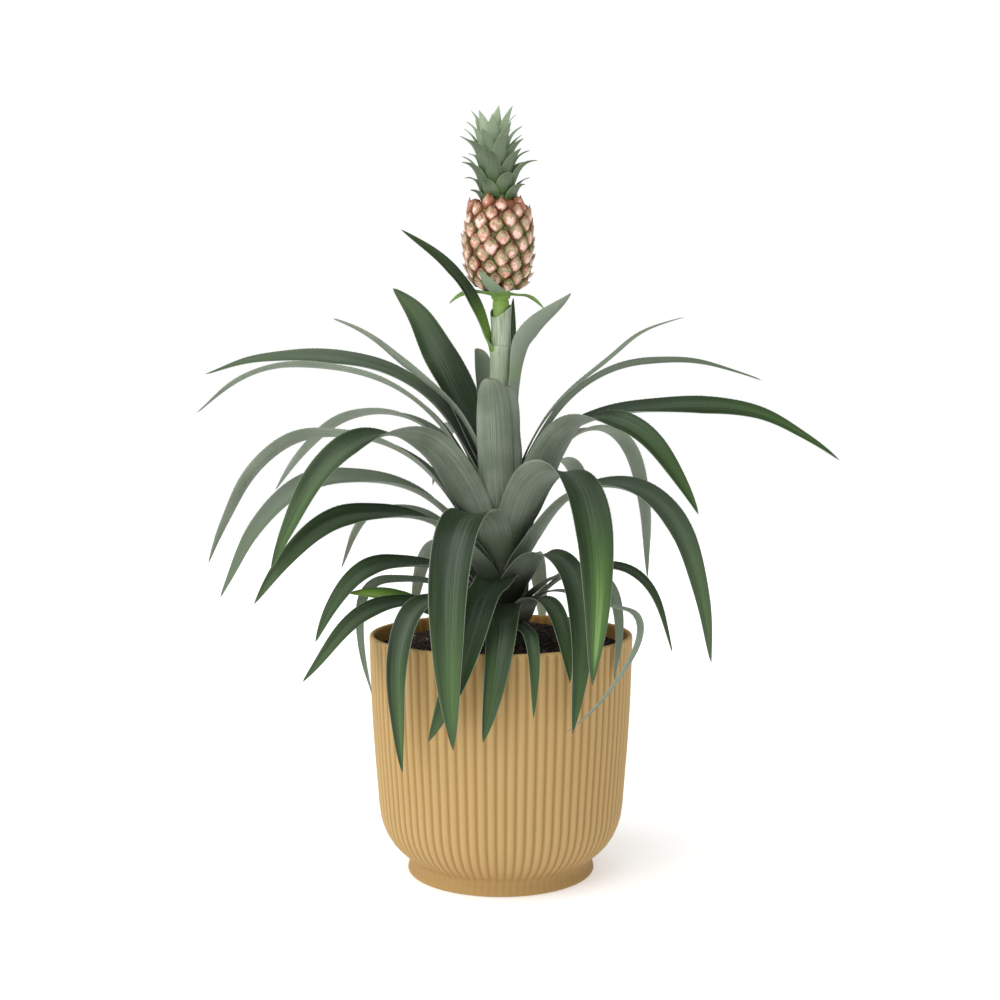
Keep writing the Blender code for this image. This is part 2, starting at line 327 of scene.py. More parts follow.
class Graph:
    """A node tree, with short calls that add and join its nodes."""

    def __init__(self, tree: bpy.types.NodeTree) -> None:
        """Takes the tree to fill.

        Args:
            tree: A shader or geometry node tree.
        """
        self.tree = tree

    def node(self, kind: str, inputs: dict | None = None, **settings: Any) -> bpy.types.Node:
        """Adds a node.

        Args:
            kind: Its Blender type.
            inputs: Socket name or index to a value, a node or a socket.
            **settings: Properties of the node.

        Returns:
            The new node.
        """
        made = self.tree.nodes.new(kind)
        for key, value in settings.items():
            setattr(made, key, value)
        for key, value in (inputs or {}).items():
            if isinstance(value, bpy.types.Node):
                value = value.outputs[0]
            if isinstance(value, bpy.types.NodeSocket):
                self.tree.links.new(value, made.inputs[key])
            else:
                made.inputs[key].default_value = value
        return made

    def math(self, operation: str, *values: Any) -> bpy.types.NodeSocket:
        """Adds a Math node on the values and returns its result."""
        return self.node("ShaderNodeMath", dict(enumerate(values)), operation=operation).outputs[0]

    def plus(self, first: Any, second: Any) -> bpy.types.NodeSocket:
        """Adds two values and returns the sum."""
        return self.math("ADD", first, second)

    def scaled(self, value: Any, factor: Any, offset: Any) -> bpy.types.NodeSocket:
        """Multiplies a value by a factor, adds an offset and returns the result."""
        return self.math("MULTIPLY_ADD", value, factor, offset)

    def away(self, value: Any, factor: float = 1.0, offset: float = 0.0) -> bpy.types.NodeSocket:
        """Scales a value and returns how far the result is from 0."""
        return self.math("ABSOLUTE", self.scaled(value, factor, offset))

    def times(self, *values: Any) -> bpy.types.NodeSocket:
        """Multiplies several values, two at a time.

        Args:
            *values: Numbers or sockets.

        Returns:
            The product.
        """
        product = values[0]
        for value in values[1:]:
            product = self.math("MULTIPLY", product, value)
        return product

    def rise(self, value: Any, low: float, high: float, top: float = 1.0) -> bpy.types.NodeSocket:
        """Maps a value smoothly from 0 at low to top at high.

        Args:
            value: What is mapped.
            low: Where the result is 0.
            high: Where the result is top.
            top: The result's other end.

        Returns:
            The mapped value.
        """
        if low > high:
            low, high, ends = high, low, (top, 0.0)
        else:
            ends = (0.0, top)
        inputs = {0: value, 1: low, 2: high, 3: ends[0], 4: ends[1]}
        return self.node("ShaderNodeMapRange", inputs, interpolation_type="SMOOTHSTEP").outputs[0]

    def blend(self, factor: Any, first: Any, second: Any) -> bpy.types.NodeSocket:
        """Mixes two colours.

        Args:
            factor: How much of the second colour shows.
            first: A colour or a socket.
            second: A colour or a socket.

        Returns:
            The mix.
        """
        colours = [(*c, 1.0) if isinstance(c, tuple) else c for c in (first, second)]
        inputs = {0: factor, 6: colours[0], 7: colours[1]}
        return self.node("ShaderNodeMix", inputs, data_type="RGBA").outputs[2]

    def coated(self, skin: Any, *coats: tuple[Any, Any]) -> bpy.types.NodeSocket:
        """Lays colours over a skin in order.

        Args:
            skin: The colour underneath.
            *coats: How much each colour covers, and the colour.

        Returns:
            The colour that shows.
        """
        for cover, colour in coats:
            skin = self.blend(cover, skin, colour)
        return skin

    def noise(self, vector: Any, scale: float, detail: float) -> bpy.types.NodeSocket:
        """Adds a noise pattern on the vector and returns its value."""
        inputs = {"Vector": vector, "Scale": scale, "Detail": detail}
        return self.node("ShaderNodeTexNoise", inputs).outputs[0]

    def value(self, name: Value, output: str = "Fac") -> bpy.types.NodeSocket:
        """Reads a value that the points carry."""
        return self.node("ShaderNodeAttribute", attribute_name=name.value).outputs[output]

    def place(self) -> bpy.types.NodeSocket:
        """Reads the object's own coordinates."""
        return self.node("ShaderNodeTexCoord").outputs["Object"]

    def parts(self, vector: Any) -> list[bpy.types.NodeSocket]:
        """Splits a vector and returns its three numbers."""
        return list(self.node("ShaderNodeSeparateXYZ", {0: vector}).outputs)

    def vector(self, *values: Any) -> bpy.types.NodeSocket:
        """Puts three numbers together and returns the vector."""
        return self.node("ShaderNodeCombineXYZ", dict(enumerate(values))).outputs[0]

    def stretched(self, vector: Any, scale: Any) -> bpy.types.NodeSocket:
        """Multiplies a vector by a number and returns the result."""
        return self.node("ShaderNodeVectorMath", {0: vector, "Scale": scale}, operation="SCALE").outputs[0]


class Paint(Graph):
    """A material's tree round one Principled shader."""

    def __init__(self, name: str) -> None:
        """Makes the material.

        Args:
            name: Its name.
        """
        self.material = bpy.data.materials.new(name)
        self.material.use_nodes = True
        self.material.node_tree.nodes.clear()
        super().__init__(self.material.node_tree)
        self.shader = self.node("ShaderNodeBsdfPrincipled")
        self.node("ShaderNodeOutputMaterial", {"Surface": self.shader})

    def dress(self, colour: Any, roughness: Any, height: Any, depth: float,
              strength: float = 1.0) -> bpy.types.Material:
        """Joins the patterns to the shader.

        Args:
            colour: The base colour.
            roughness: The roughness.
            height: The pattern of the relief.
            depth: The relief's depth in metres.
            strength: How strongly the relief shows.

        Returns:
            The finished material.
        """
        relief = self.node("ShaderNodeBump", {"Height": height, "Distance": depth, "Strength": strength})
        for key, source in (("Base Color", colour), ("Roughness", roughness), ("Normal", relief)):
            source = source.outputs[0] if isinstance(source, bpy.types.Node) else source
            self.tree.links.new(source, self.shader.inputs[key])
        return self.material


class ShapeTree(Graph):
    """A geometry node tree with named inputs, which runs on a piece and leaves a plain mesh."""

    def __init__(self, name: str) -> None:
        """Makes the tree.

        Args:
            name: Its name.
        """
        super().__init__(bpy.data.node_groups.new(name, "GeometryNodeTree"))
        self.keys: dict[str, str] = {}
        for way in ("INPUT", "OUTPUT"):
            self.tree.interface.new_socket("Geometry", in_out=way, socket_type="NodeSocketGeometry")
        self.entry = self.tree.nodes.new("NodeGroupInput")
        self.leave = self.tree.nodes.new("NodeGroupOutput")

    def ask(self, name: str, kind: str) -> bpy.types.NodeSocket:
        """Adds a named input.

        Args:
            name: Its name.
            kind: Float, Int, Material or Object.

        Returns:
            The socket that gives its value.
        """
        item = self.tree.interface.new_socket(name, in_out="INPUT", socket_type="NodeSocket" + kind)
        self.keys[name] = item.identifier
        return self.entry.outputs[name]

    def carried(self, name: Value, kind: str = "FLOAT") -> bpy.types.NodeSocket:
        """Reads a value that the points carry, of the given kind."""
        read = self.node("GeometryNodeInputNamedAttribute", {"Name": name.value}, data_type=kind)
        return read.outputs[0]

    def dice(self, low: Any, high: Any, seed: Any) -> bpy.types.NodeSocket:
        """Gives a random number, or a random vector where low is a tuple, from a fixed seed.

        Args:
            low: The lowest value.
            high: The highest value.
            seed: A number, or the socket of a named input.

        Returns:
            The random value.
        """
        wide = isinstance(low, tuple)
        inputs = {0 if wide else 2: low, 1 if wide else 3: high, 8: seed}
        kind = "FLOAT_VECTOR" if wide else "FLOAT"
        return self.node("FunctionNodeRandomValue", inputs, data_type=kind).outputs[0 if wide else 1]

    def painted(self, shape: Any, finish: bpy.types.NodeSocket) -> bpy.types.NodeSocket:
        """Realises a shape's instances, gives it a material and returns it."""
        real = self.node("GeometryNodeRealizeInstances", {0: shape})
        return self.node("GeometryNodeSetMaterial", {"Geometry": real, "Material": finish}).outputs[0]

    def end(self, *shapes: bpy.types.NodeSocket) -> None:
        """Joins the shapes and sends them out of the tree.

        Args:
            *shapes: The shapes to join.
        """
        join = self.node("GeometryNodeJoinGeometry")
        for shape in shapes:
            self.tree.links.new(shape, join.inputs[0])
        self.tree.links.new(join.outputs[0], self.leave.inputs[0])

    def run(self, piece: bpy.types.Object, values: dict[str, Any]) -> None:
        """Runs the tree on a piece and keeps the result as its mesh.

        Args:
            piece: The piece to change.
            values: A value for each named input.
        """
        maker = piece.modifiers.new(self.tree.name, "NODES")
        maker.node_group = self.tree
        for name, value in values.items():
            maker[self.keys[name]] = value
        graph = bpy.context.evaluated_depsgraph_get()
        mesh = bpy.data.meshes.new_from_object(piece.evaluated_get(graph),
                                               preserve_all_data_layers=True, depsgraph=graph)
        piece.modifiers.remove(maker)
        before, piece.data = piece.data, mesh
        name = before.name
        bpy.data.meshes.remove(before)
        mesh.name = name


@dataclass(frozen=True)
class LeafSkin:
    """Leaf skin: dark and satin above, with painted sheen near the crest and along a lane beside the
    middle, bloomed grey-green below, with fine long veins, and painted shade on the feet low by the soil.
    """

    name: str = "leaf_skin"
    dark: Colour = (0.012, 0.025, 0.010)
    light: Colour = (0.038, 0.074, 0.026)
    green: Colour = (0.058, 0.108, 0.032)
    bloom_dark: Colour = (0.128, 0.162, 0.110)
    bloom_light: Colour = (0.250, 0.290, 0.226)
    fresh: Colour = (0.085, 0.200, 0.030)
    fresh_core: Colour = (0.330, 0.470, 0.190)
    pale: Colour = (0.250, 0.300, 0.230)
    margin: Colour = (0.300, 0.360, 0.260)
    foot: Colour = (0.065, 0.105, 0.035)
    young: Colour = (0.170, 0.310, 0.050)
    # painted shade for leaf feet low down by the soil
    shaded: Colour = (0.014, 0.020, 0.008)
    tip: Colour = (0.120, 0.095, 0.045)
    margin_from: float = 0.955
    fresh_from: tuple[float, float] = (0.50, 0.88)
    # crest and sheen are painted sheen colours: one near the crest, one along a lane beside the middle
    crest: Colour = (0.056, 0.082, 0.046)
    sheen: Colour = (0.098, 0.132, 0.094)
    roughness: tuple[float, float] = (0.34, 0.58)
    shine: float = 0.30

    def material(self) -> bpy.types.Material:
        """Builds the material.

        Returns:
            The finished material.
        """
        paint = Paint(self.name)
        along, over, _ = paint.parts(paint.node("ShaderNodeUVMap", uv_map="along"))
        share, under, luck = (paint.value(k) for k in (Value.SHARE, Value.UNDER, Value.LUCK))
        lane = paint.vector(paint.times(along, 2.2), paint.times(over, 44.0),
                            paint.plus(paint.times(luck, 9.0), under))
        fine = paint.noise(lane, 1.0, 5.0)
        wide = paint.noise(paint.vector(paint.times(along, 1.1), paint.times(over, 5.0), luck), 1.0, 2.0)
        place = paint.place()
        cloud, height = paint.noise(place, 34.0, 4.0), paint.parts(place)[2]
        top = self.upper(paint, share, luck, over, fine, wide, cloud)
        veined = paint.rise(paint.plus(paint.times(fine, 0.8), cloud), 0.66, 1.10)
        below = paint.blend(veined, self.bloom_dark, self.bloom_light)
        # painted shade: leaf feet darkened low down, near the soil
        painted_low_shade = paint.times(paint.rise(height, 0.186, 0.140), paint.rise(share, 0.26, 0.04, 0.9))
        lime = paint.times(paint.rise(height, 0.258, 0.268), paint.rise(share, 0.44, 0.08, 0.85))
        edge = paint.rise(paint.away(over, 2.0, -1.0), self.margin_from, 1.0, 0.65)
        skin = paint.coated(top, (under, below), (paint.value(Value.PALE), self.pale),
                            (paint.rise(share, 0.10, 0.0, 0.55), self.foot), (painted_low_shade, self.shaded),
                            (lime, self.young), (edge, self.margin),
                            (paint.rise(share, 0.975, 1.0, 0.8), self.tip))
        low, high = self.roughness
        rough = paint.scaled(fine, 0.12, paint.scaled(under, high - low, low))
        paint.shader.inputs["Specular IOR Level"].default_value = self.shine
        return paint.dress(skin, rough, fine, 0.0004, 0.5)

    def upper(self, paint: Paint, share: Any, luck: Any, over: Any, fine: Any, wide: Any,
              cloud: Any) -> bpy.types.NodeSocket:
        """Paints the upper side, with painted sheen near the crest and along a lane beside the middle.

        Args:
            paint: The material's tree.
            share: How far along the leaf.
            luck: The leaf's own number.
            over: How far across the leaf.
            fine: The pattern of the veins.
            wide: The pattern of the broad bands.
            cloud: The pattern of the patches.

        Returns:
            The upper side's colour.
        """
        mix = paint.plus(paint.rise(fine, 0.34, 0.70, 0.55), paint.rise(cloud, 0.36, 0.70, 0.45))
        top = paint.blend(paint.times(mix, paint.rise(wide, 0.25, 0.75)), self.dark, self.light)
        # painted sheen: the upper part of the leaf, towards its crest, lighter grey-green
        painted_crest_sheen = paint.times(paint.rise(share, 0.60, 0.25), paint.rise(cloud, 0.30, 0.60, 0.8),
                           paint.rise(luck, 0.15, 0.75))
        # painted sheen: a streaky lighter lane running along beside the middle of the leaf
        painted_sheen_lane = paint.times(paint.rise(paint.away(over, 2.0, -1.15), 0.60, 0.05),
                            paint.rise(fine, 0.30, 0.62, 0.55), paint.rise(share, 0.12, 0.40),
                            paint.rise(share, 0.90, 0.60))
        ripe = paint.times(paint.rise(share, 0.40, 0.95, 0.75), paint.rise(wide, 0.20, 0.62))
        offset = paint.away(over, 2.3, -1.4)
        stripe = paint.times(paint.value(Value.FRESH), paint.rise(offset, 1.05, 0.15),
                             paint.rise(fine, 0.15, 0.60), paint.rise(share, *self.fresh_from),
                             paint.rise(share, 1.0, 0.90))
        core = paint.times(stripe, stripe, paint.rise(offset, 0.45, 0.05), paint.rise(share, 0.50, 0.85),
                           0.7)
        return paint.coated(top, (painted_crest_sheen, self.crest), (painted_sheen_lane, self.sheen), (ripe, self.green),
                            (stripe, self.fresh), (core, self.fresh_core))


@dataclass(frozen=True)
class PotPlastic:
    """Moulded matt plastic in a warm tan, with painted shade and a little dust in the grooves, and painted
    shade at the foot and on the inside wall.
    """

    name: str = "pot_plastic"
    base: Colour = (0.440, 0.294, 0.118)
    # groove: painted shade, with a little dust, for the grooves and the foot
    groove: Colour = (0.290, 0.152, 0.038)
    dust: Colour = (0.485, 0.345, 0.165)
    # inner: painted shade for the inside wall
    inner: Colour = (0.380, 0.200, 0.045)
    shine: float = 0.22

    def material(self) -> bpy.types.Material:
        """Builds the material.

        Returns:
            The finished material.
        """
        paint = Paint(self.name)
        place = paint.place()
        cloud = paint.noise(place, 22.0, 4.0)
        grain = paint.noise(place, 2600.0, 2.0)
        x, y, height = paint.parts(place)
        reach = paint.math("SQRT", paint.plus(paint.times(x, x), paint.times(y, y)))
        # painted shade: the inside wall above the soil darker and oranger
        painted_inner_shade = paint.times(paint.rise(height, 0.110, 0.113), paint.rise(reach, 0.0684, 0.0674, 0.9))
        skin = paint.coated(self.base, (paint.rise(cloud, 0.35, 0.70, 0.22), self.dust),
                            # painted shade with a little dust: the grooves darker
                            (paint.rise(paint.value(Value.RIB), 0.15, 0.85, 0.75), self.groove),
                            # painted shade: the foot darker towards the floor
                            (paint.rise(height, 0.030, 0.0, 0.40), self.groove), (painted_inner_shade, self.inner))
        rough = paint.scaled(cloud, 0.16, 0.50)
        paint.shader.inputs["Specular IOR Level"].default_value = self.shine
        return paint.dress(skin, rough, grain, 0.00008, 0.35)


@dataclass(frozen=True)
class Earth:
    """Moist peat, nearly black, with lighter crumbs."""

    name: str = "peat"
    dark: Colour = (0.005, 0.003, 0.0022)
    light: Colour = (0.034, 0.018, 0.012)

    def material(self) -> bpy.types.Material:
        """Builds the material.

        Returns:
            The finished material.
        """
        paint = Paint(self.name)
        place = paint.place()
        crumb, cloud = paint.noise(place, 700.0, 6.0), paint.noise(place, 60.0, 3.0)
        skin = paint.blend(paint.rise(paint.plus(crumb, cloud), 0.85, 1.35), self.dark, self.light)
        return paint.dress(skin, paint.scaled(crumb, 0.2, 0.72), crumb, 0.0012)


@dataclass(frozen=True)
class Crumb:
    """Loose crumbs on the soil: black peat, red-brown bark and a few white grains."""

    name: str = "soil_crumb"
    peat: Colour = (0.009, 0.005, 0.004)
    bark: Colour = (0.230, 0.085, 0.036)
    white: Colour = (0.360, 0.300, 0.250)

    def material(self) -> bpy.types.Material:
        """Builds the material.

        Returns:
            The finished material.
        """
        paint = Paint(self.name)
        luck, fleck = paint.value(Value.GRAIN), paint.noise(paint.place(), 1500.0, 3.0)
        skin = paint.coated(self.peat, (paint.rise(luck, 0.55, 0.92, 0.9), self.bark),
                            (paint.rise(luck, 0.952, 0.962, 0.8), self.white),
                            (paint.rise(fleck, 0.35, 0.70, 0.4), self.peat))
        return paint.dress(skin, paint.scaled(fleck, 0.2, 0.65), fleck, 0.0004)


@dataclass(frozen=True)
class StalkSkin:
    """The stalk: lime where it is bare under the fruit, whitish on the sheath, dull lower down, and nearly
    black with painted shade near the soil.
    """

    name: str = "stalk_skin"
    lime: Colour = (0.195, 0.340, 0.050)
    dull: Colour = (0.240, 0.300, 0.190)
    # low: painted shade for the stalk low down, near the soil
    low: Colour = (0.018, 0.020, 0.009)
    sheath: Colour = (0.400, 0.460, 0.350)
    sheath_green: Colour = (0.220, 0.290, 0.160)

    def material(self) -> bpy.types.Material:
        """Builds the material.

        Returns:
            The finished material.
        """
        paint = Paint(self.name)
        place = paint.place()
        x, y, height = paint.parts(place)
        lane = paint.vector(paint.times(x, 1400.0), paint.times(y, 1400.0), paint.times(height, 90.0))
        fine, cloud = paint.noise(lane, 1.0, 4.0), paint.noise(place, 90.0, 3.0)
        wrap = paint.coated(self.sheath, (paint.rise(fine, 0.40, 0.66), self.sheath_green),
                            (paint.rise(height, 0.280, 0.274, 0.65), self.dull))
        skin = paint.coated(self.dull, (paint.rise(height, 0.262, 0.276), self.lime),
                            (paint.rise(cloud, 0.45, 0.72, 0.20), self.dull),
                            # painted shade: the stalk darkened below about 200 mm
                            (paint.rise(height, 0.200, 0.150), self.low),
                            (paint.value(Value.SHEATH), wrap))
        return paint.dress(skin, paint.scaled(fine, 0.15, 0.42), fine, 0.0003, 0.6)


@dataclass(frozen=True)
class FruitSkin:
    """The fruit's eyes: salmon at the middle with a pale painted highlight on each bulge, olive above,
    red-brown where they meet.
    """

    name: str = "fruit_skin"
    # glow: painted highlight colour for the bulge of each eye
    glow: Colour = (0.920, 0.640, 0.550)
    salmon: Colour = (0.680, 0.290, 0.195)
    blush: Colour = (0.340, 0.090, 0.045)
    olive: Colour = (0.250, 0.255, 0.105)
    tan: Colour = (0.520, 0.430, 0.270)
    seam: Colour = (0.150, 0.052, 0.022)
    seam_green: Colour = (0.130, 0.128, 0.032)

    def material(self) -> bpy.types.Material:
        """Builds the material.

        Returns:
            The finished material.
        """
        paint = Paint(self.name)
        x, y, ring = paint.parts(paint.value(Value.EYE, "Vector"))
        luck, place = paint.value(Value.LUCK), paint.place()
        fleck, cloud = paint.noise(place, 1100.0, 4.0), paint.noise(place, 260.0, 3.0)
        wander = paint.scaled(cloud, 2.2, -1.1)
        sides = paint.plus(paint.away(x), wander)
        cap = paint.coated(self.olive, (paint.rise(paint.plus(luck, wander), 0.2, 0.9), self.tan),
                           (paint.rise(fleck, 0.50, 0.72, 0.5), self.seam_green))
        # painted highlight: the middle of each eye's lower half
        middle = paint.times(paint.rise(sides, 0.46, 0.10), paint.rise(y, 0.34, 0.0),
                             paint.rise(y, -0.85, -0.45))
        belly = paint.coated(self.salmon, (paint.rise(fleck, 0.50, 0.75, 0.5), self.blush),
                             (middle, self.glow))
        seam = paint.blend(paint.rise(cloud, 0.44, 0.58), self.seam, self.seam_green)
        around = paint.rise(paint.scaled(fleck, 0.5, ring), 0.86, 1.14)
        scale = paint.blend(paint.rise(y, 0.15, 0.85), self.tan, self.blush)
        ripe = paint.times(paint.rise(paint.parts(place)[2], 0.340, 0.355, 0.8),
                           paint.rise(cloud, 0.34, 0.60))
        skin = paint.coated(cap, (paint.rise(paint.plus(y, wander), 0.38, 0.02), belly),
                            (paint.rise(sides, 0.40, 0.66, 0.9), cap), (around, seam),
                            (paint.rise(ring, 1.5, 1.9), scale), (ripe, self.blush))
        return paint.dress(skin, paint.scaled(fleck, 0.2, 0.42), fleck, 0.0005, 0.8)


@dataclass(frozen=True)
class ThornHorn:
    """The tiny horny teeth along the leaf margins."""

    name: str = "thorn_horn"
    straw: Colour = (0.300, 0.320, 0.190)
    brown: Colour = (0.170, 0.120, 0.060)

    def material(self) -> bpy.types.Material:
        """Builds the material.

        Returns:
            The finished material.
        """
        paint = Paint(self.name)
        fleck = paint.noise(paint.place(), 800.0, 2.0)
        skin = paint.blend(paint.rise(fleck, 0.4, 0.7), self.straw, self.brown)
        return paint.dress(skin, paint.scaled(fleck, 0.2, 0.45), fleck, 0.0001, 0.5)


@dataclass(frozen=True)
class FloorPaint:
    """A plain pale floor, lit a little from below like a light table."""

    name: str = "floor_paint"
    white: Colour = (0.86, 0.86, 0.86)
    grey: Colour = (0.83, 0.83, 0.83)
    glow: float = 0.36

    def material(self) -> bpy.types.Material:
        """Builds the material.

        Returns:
            The finished material.
        """
        paint = Paint(self.name)
        cloud = paint.noise(paint.place(), 6.0, 2.0)
        skin = paint.blend(cloud, self.white, self.grey)
        paint.shader.inputs["Emission Color"].default_value = (1, 1, 1, 1)
        paint.shader.inputs["Emission Strength"].default_value = self.glow
        return paint.dress(skin, paint.scaled(cloud, 0.1, 0.75), cloud, 0.0001, 0.1)


@dataclass
class Pot:
    """The ribbed pot: a turned wall whose grooves are pressed in all round."""

    wall: float = 2.5
    ribs: int = 85
    columns_per_rib: int = 10
    groove: float = 1.0
    groove_softness: float = 0.02
    height: float = 127.0
    under: Profile = ((0, 0), (20, 0), (44, 0), (48.6, 0), (49.6, 0.4))
    outside: Profile = ((49.9, 0.9), (49.7, 1.9), (49.3, 3.1), (48.8, 4.4), (48.5, 5.7), (48.6, 6.9),
                        (49.2, 8.0), (50.3, 9.1), (52.3, 10.8), (55.2, 13.4), (58.2, 16.6), (60.9, 20.8),
                        (63.0, 25.4), (64.4, 30.4), (65.2, 36.0), (65.8, 44.0), (66.5, 53.0),
                        (67.3, 63.0), (68.0, 73.0), (68.6, 83.0), (69.1, 94.0), (69.5, 106.0),
                        (69.8, 117.0), (70.0, 124.5))
    rim: Profile = ((70.0, 125.8), (69.75, 126.6), (69.2, 127.0), (68.4, 127.0), (67.8, 126.6),
                    (67.5, 125.8))
    inner_floor: Profile = ((56.0, 15.5), (50.5, 9.0), (44.0, 7.0), (0, 7.0))
    finish: PotPlastic = PotPlastic()

    def shell(self) -> Shell:
        """Turns the wall, with a rolled rim, and marks how deep the grooves go at each height.

        Returns:
            The closed wall, before its grooves.
        """
        inner = [(r - self.wall, z) for r, z in self.outside if z > 18][::-1]
        profile = [*self.under, *self.outside, *self.rim, *inner, *self.inner_floor]
        columns = self.ribs * self.columns_per_rib
        made = turned(profile, columns)
        outer_end = len(self.under) + len(self.outside) + len(self.rim) // 2 - 1
        depth = []
        for index, (r, z) in enumerate(profile[1:-1]):
            near_rim = 0.35 + 0.65 * float(smooth(self.height, self.height - 2.4, z)) if z > 120 else 1.0
            near_foot = (0.34 + 0.66 * float(smooth(5.0, 15.0, z))) * float(smooth(0.0, 2.2, z))
            share = near_rim * (near_foot if index < outer_end else 0.75)
            depth.append(share if r > 47 else 0.0)
        made.values[Value.RIBBED] = np.r_[np.repeat(depth, columns), 0.0, 0.0]
        return made

    def rib_tree(self) -> ShapeTree:
        """The tree that presses the grooves into the wall.

        Returns:
            The tree, with the rib count, groove depth, groove softness and finish as inputs.
        """
        tree = ShapeTree("Pot Ribs")
        count, depth = tree.ask("Rib Count", "Float"), tree.ask("Groove Depth", "Float")
        softness, finish = tree.ask("Groove Softness", "Float"), tree.ask("Finish", "Material")
        x, y, _ = tree.parts(tree.node("GeometryNodeInputPosition"))
        turn = tree.math("ARCTAN2", x, tree.times(y, -1.0))
        swing = tree.math("COSINE", tree.times(turn, count, 0.5))
        ridge = tree.math("SQRT", tree.plus(tree.times(swing, swing), softness))
        valley = tree.math("MAXIMUM", tree.math("SUBTRACT", 1.0, ridge), 0.0)
        valley = tree.times(valley, tree.carried(Value.RIBBED))
        out = tree.node("ShaderNodeVectorMath", {0: tree.vector(x, y, 0.0)}, operation="NORMALIZE")
        push = tree.stretched(out, tree.times(valley, depth, -1.0))
        store = tree.node("GeometryNodeStoreNamedAttribute",
                          {"Geometry": tree.entry.outputs[0], "Name": Value.RIB.value, "Value": valley},
                          data_type="FLOAT", domain="POINT")
        moved = tree.node("GeometryNodeSetPosition", {"Geometry": store, "Offset": push})
        tree.end(tree.painted(moved, finish))
        return tree

    def build(self) -> None:
        """Builds the pot and settles it."""
        piece = self.shell().piece("ribbed_pot")
        self.rib_tree().run(piece, {"Rib Count": float(self.ribs), "Groove Depth": self.groove * MM,
                                    "Groove Softness": self.groove_softness,
                                    "Finish": self.finish.material()})
        settle(piece, Slot.POT, "pot")


@dataclass
class Soil:
    """The soil: a crumbly top with loose crumbs strewn on it."""

    edge: float = 66.9
    rim_height: float = 119.0
    middle_height: float = 121.0
    bottom: float = 108.0
    crumb_size: float = 0.62
    density: float = 480000.0
    columns: int = 150
    rings: int = 26
    mound: float = 4.6
    earth: Earth = Earth()
    crumb: Crumb = Crumb()

    def shell(self) -> Shell:
        """Turns the soil and makes its top uneven.

        Returns:
            The closed body of soil, without its loose crumbs.
        """
        rings = [(self.edge * math.sqrt(k / self.rings), self.middle_height)
                 for k in range(self.rings, 0, -1)]
        profile = ([(0, self.bottom), (30, self.bottom), (self.edge - 0.6, self.bottom),
                    (self.edge, self.bottom + 5)] + rings + [(0, self.middle_height)])
        made = turned(profile, self.columns)
        x, y, z = made.points.T
        reach = np.hypot(x, y)
        top = z > self.bottom + 6
        rough = (np.sin(x * 0.61 + 1.3) * np.sin(y * 0.53 + 0.4) + np.sin(x * 1.31 + y * 0.9)
                 + 0.7 * np.sin(x * 2.3 - y * 1.9 + 2.0) + 0.5 * np.sin(y * 3.1 + x * 2.7)) * 0.42
        fall = (self.middle_height - self.rim_height) * smooth(25, self.edge, reach)
        fade = smooth(self.edge + 0.1, self.edge - 5, reach)
        mound = self.mound * smooth(8, 52, y) * smooth(62, 12, np.abs(x))
        mound *= smooth(self.edge + 0.1, self.edge - 7, reach)
        made.points[:, 2] = np.where(top, self.middle_height - fall + rough * fade + mound, z)
        return made

    def crumb_tree(self) -> ShapeTree:
        """The tree that strews crumbs over the top.

        Returns:
            The tree, with the crumb density and size and the two finishes as inputs.
        """
        tree = ShapeTree("Soil Crumbs")
        density, size = tree.ask("Crumb Density", "Float"), tree.ask("Crumb Size", "Float")
        earth, finish = tree.ask("Earth Finish", "Material"), tree.ask("Crumb Finish", "Material")
        facing = tree.parts(tree.node("GeometryNodeInputNormal"))[2]
        height = tree.parts(tree.node("GeometryNodeInputPosition"))[2]
        top = tree.times(tree.math("GREATER_THAN", facing, 0.3), tree.math("GREATER_THAN", height, 0.117))
        points = tree.node("GeometryNodeDistributePointsOnFaces",
                           {"Mesh": tree.entry.outputs[0], "Selection": top, "Density": density,
                            "Seed": 11})
        ball = tree.node("GeometryNodeMeshIcoSphere", {"Radius": size, "Subdivisions": 1})
        strewn = tree.node("GeometryNodeInstanceOnPoints",
                           {"Points": points, "Instance": ball,
                            "Rotation": tree.dice((0.0, 0.0, 0.0), (6.2, 6.2, 6.2), 5),
                            "Scale": tree.dice((0.35, 0.35, 0.3), (1.5, 1.2, 0.9), 6)})
        named = tree.node("GeometryNodeStoreNamedAttribute",
                          {"Geometry": strewn, "Name": Value.GRAIN.value, "Value": tree.dice(0.0, 1.0, 7)},
                          data_type="FLOAT", domain="INSTANCE")
        tree.end(tree.painted(tree.entry.outputs[0], earth), tree.painted(named, finish))
        return tree

    def build(self) -> None:
        """Builds the soil and settles it."""
        piece = self.shell().piece("potting_soil")
        self.crumb_tree().run(piece, {"Crumb Density": self.density, "Crumb Size": self.crumb_size * MM,
                                      "Earth Finish": self.earth.material(),
                                      "Crumb Finish": self.crumb.material()})
        settle(piece, Slot.SOIL, "soil")


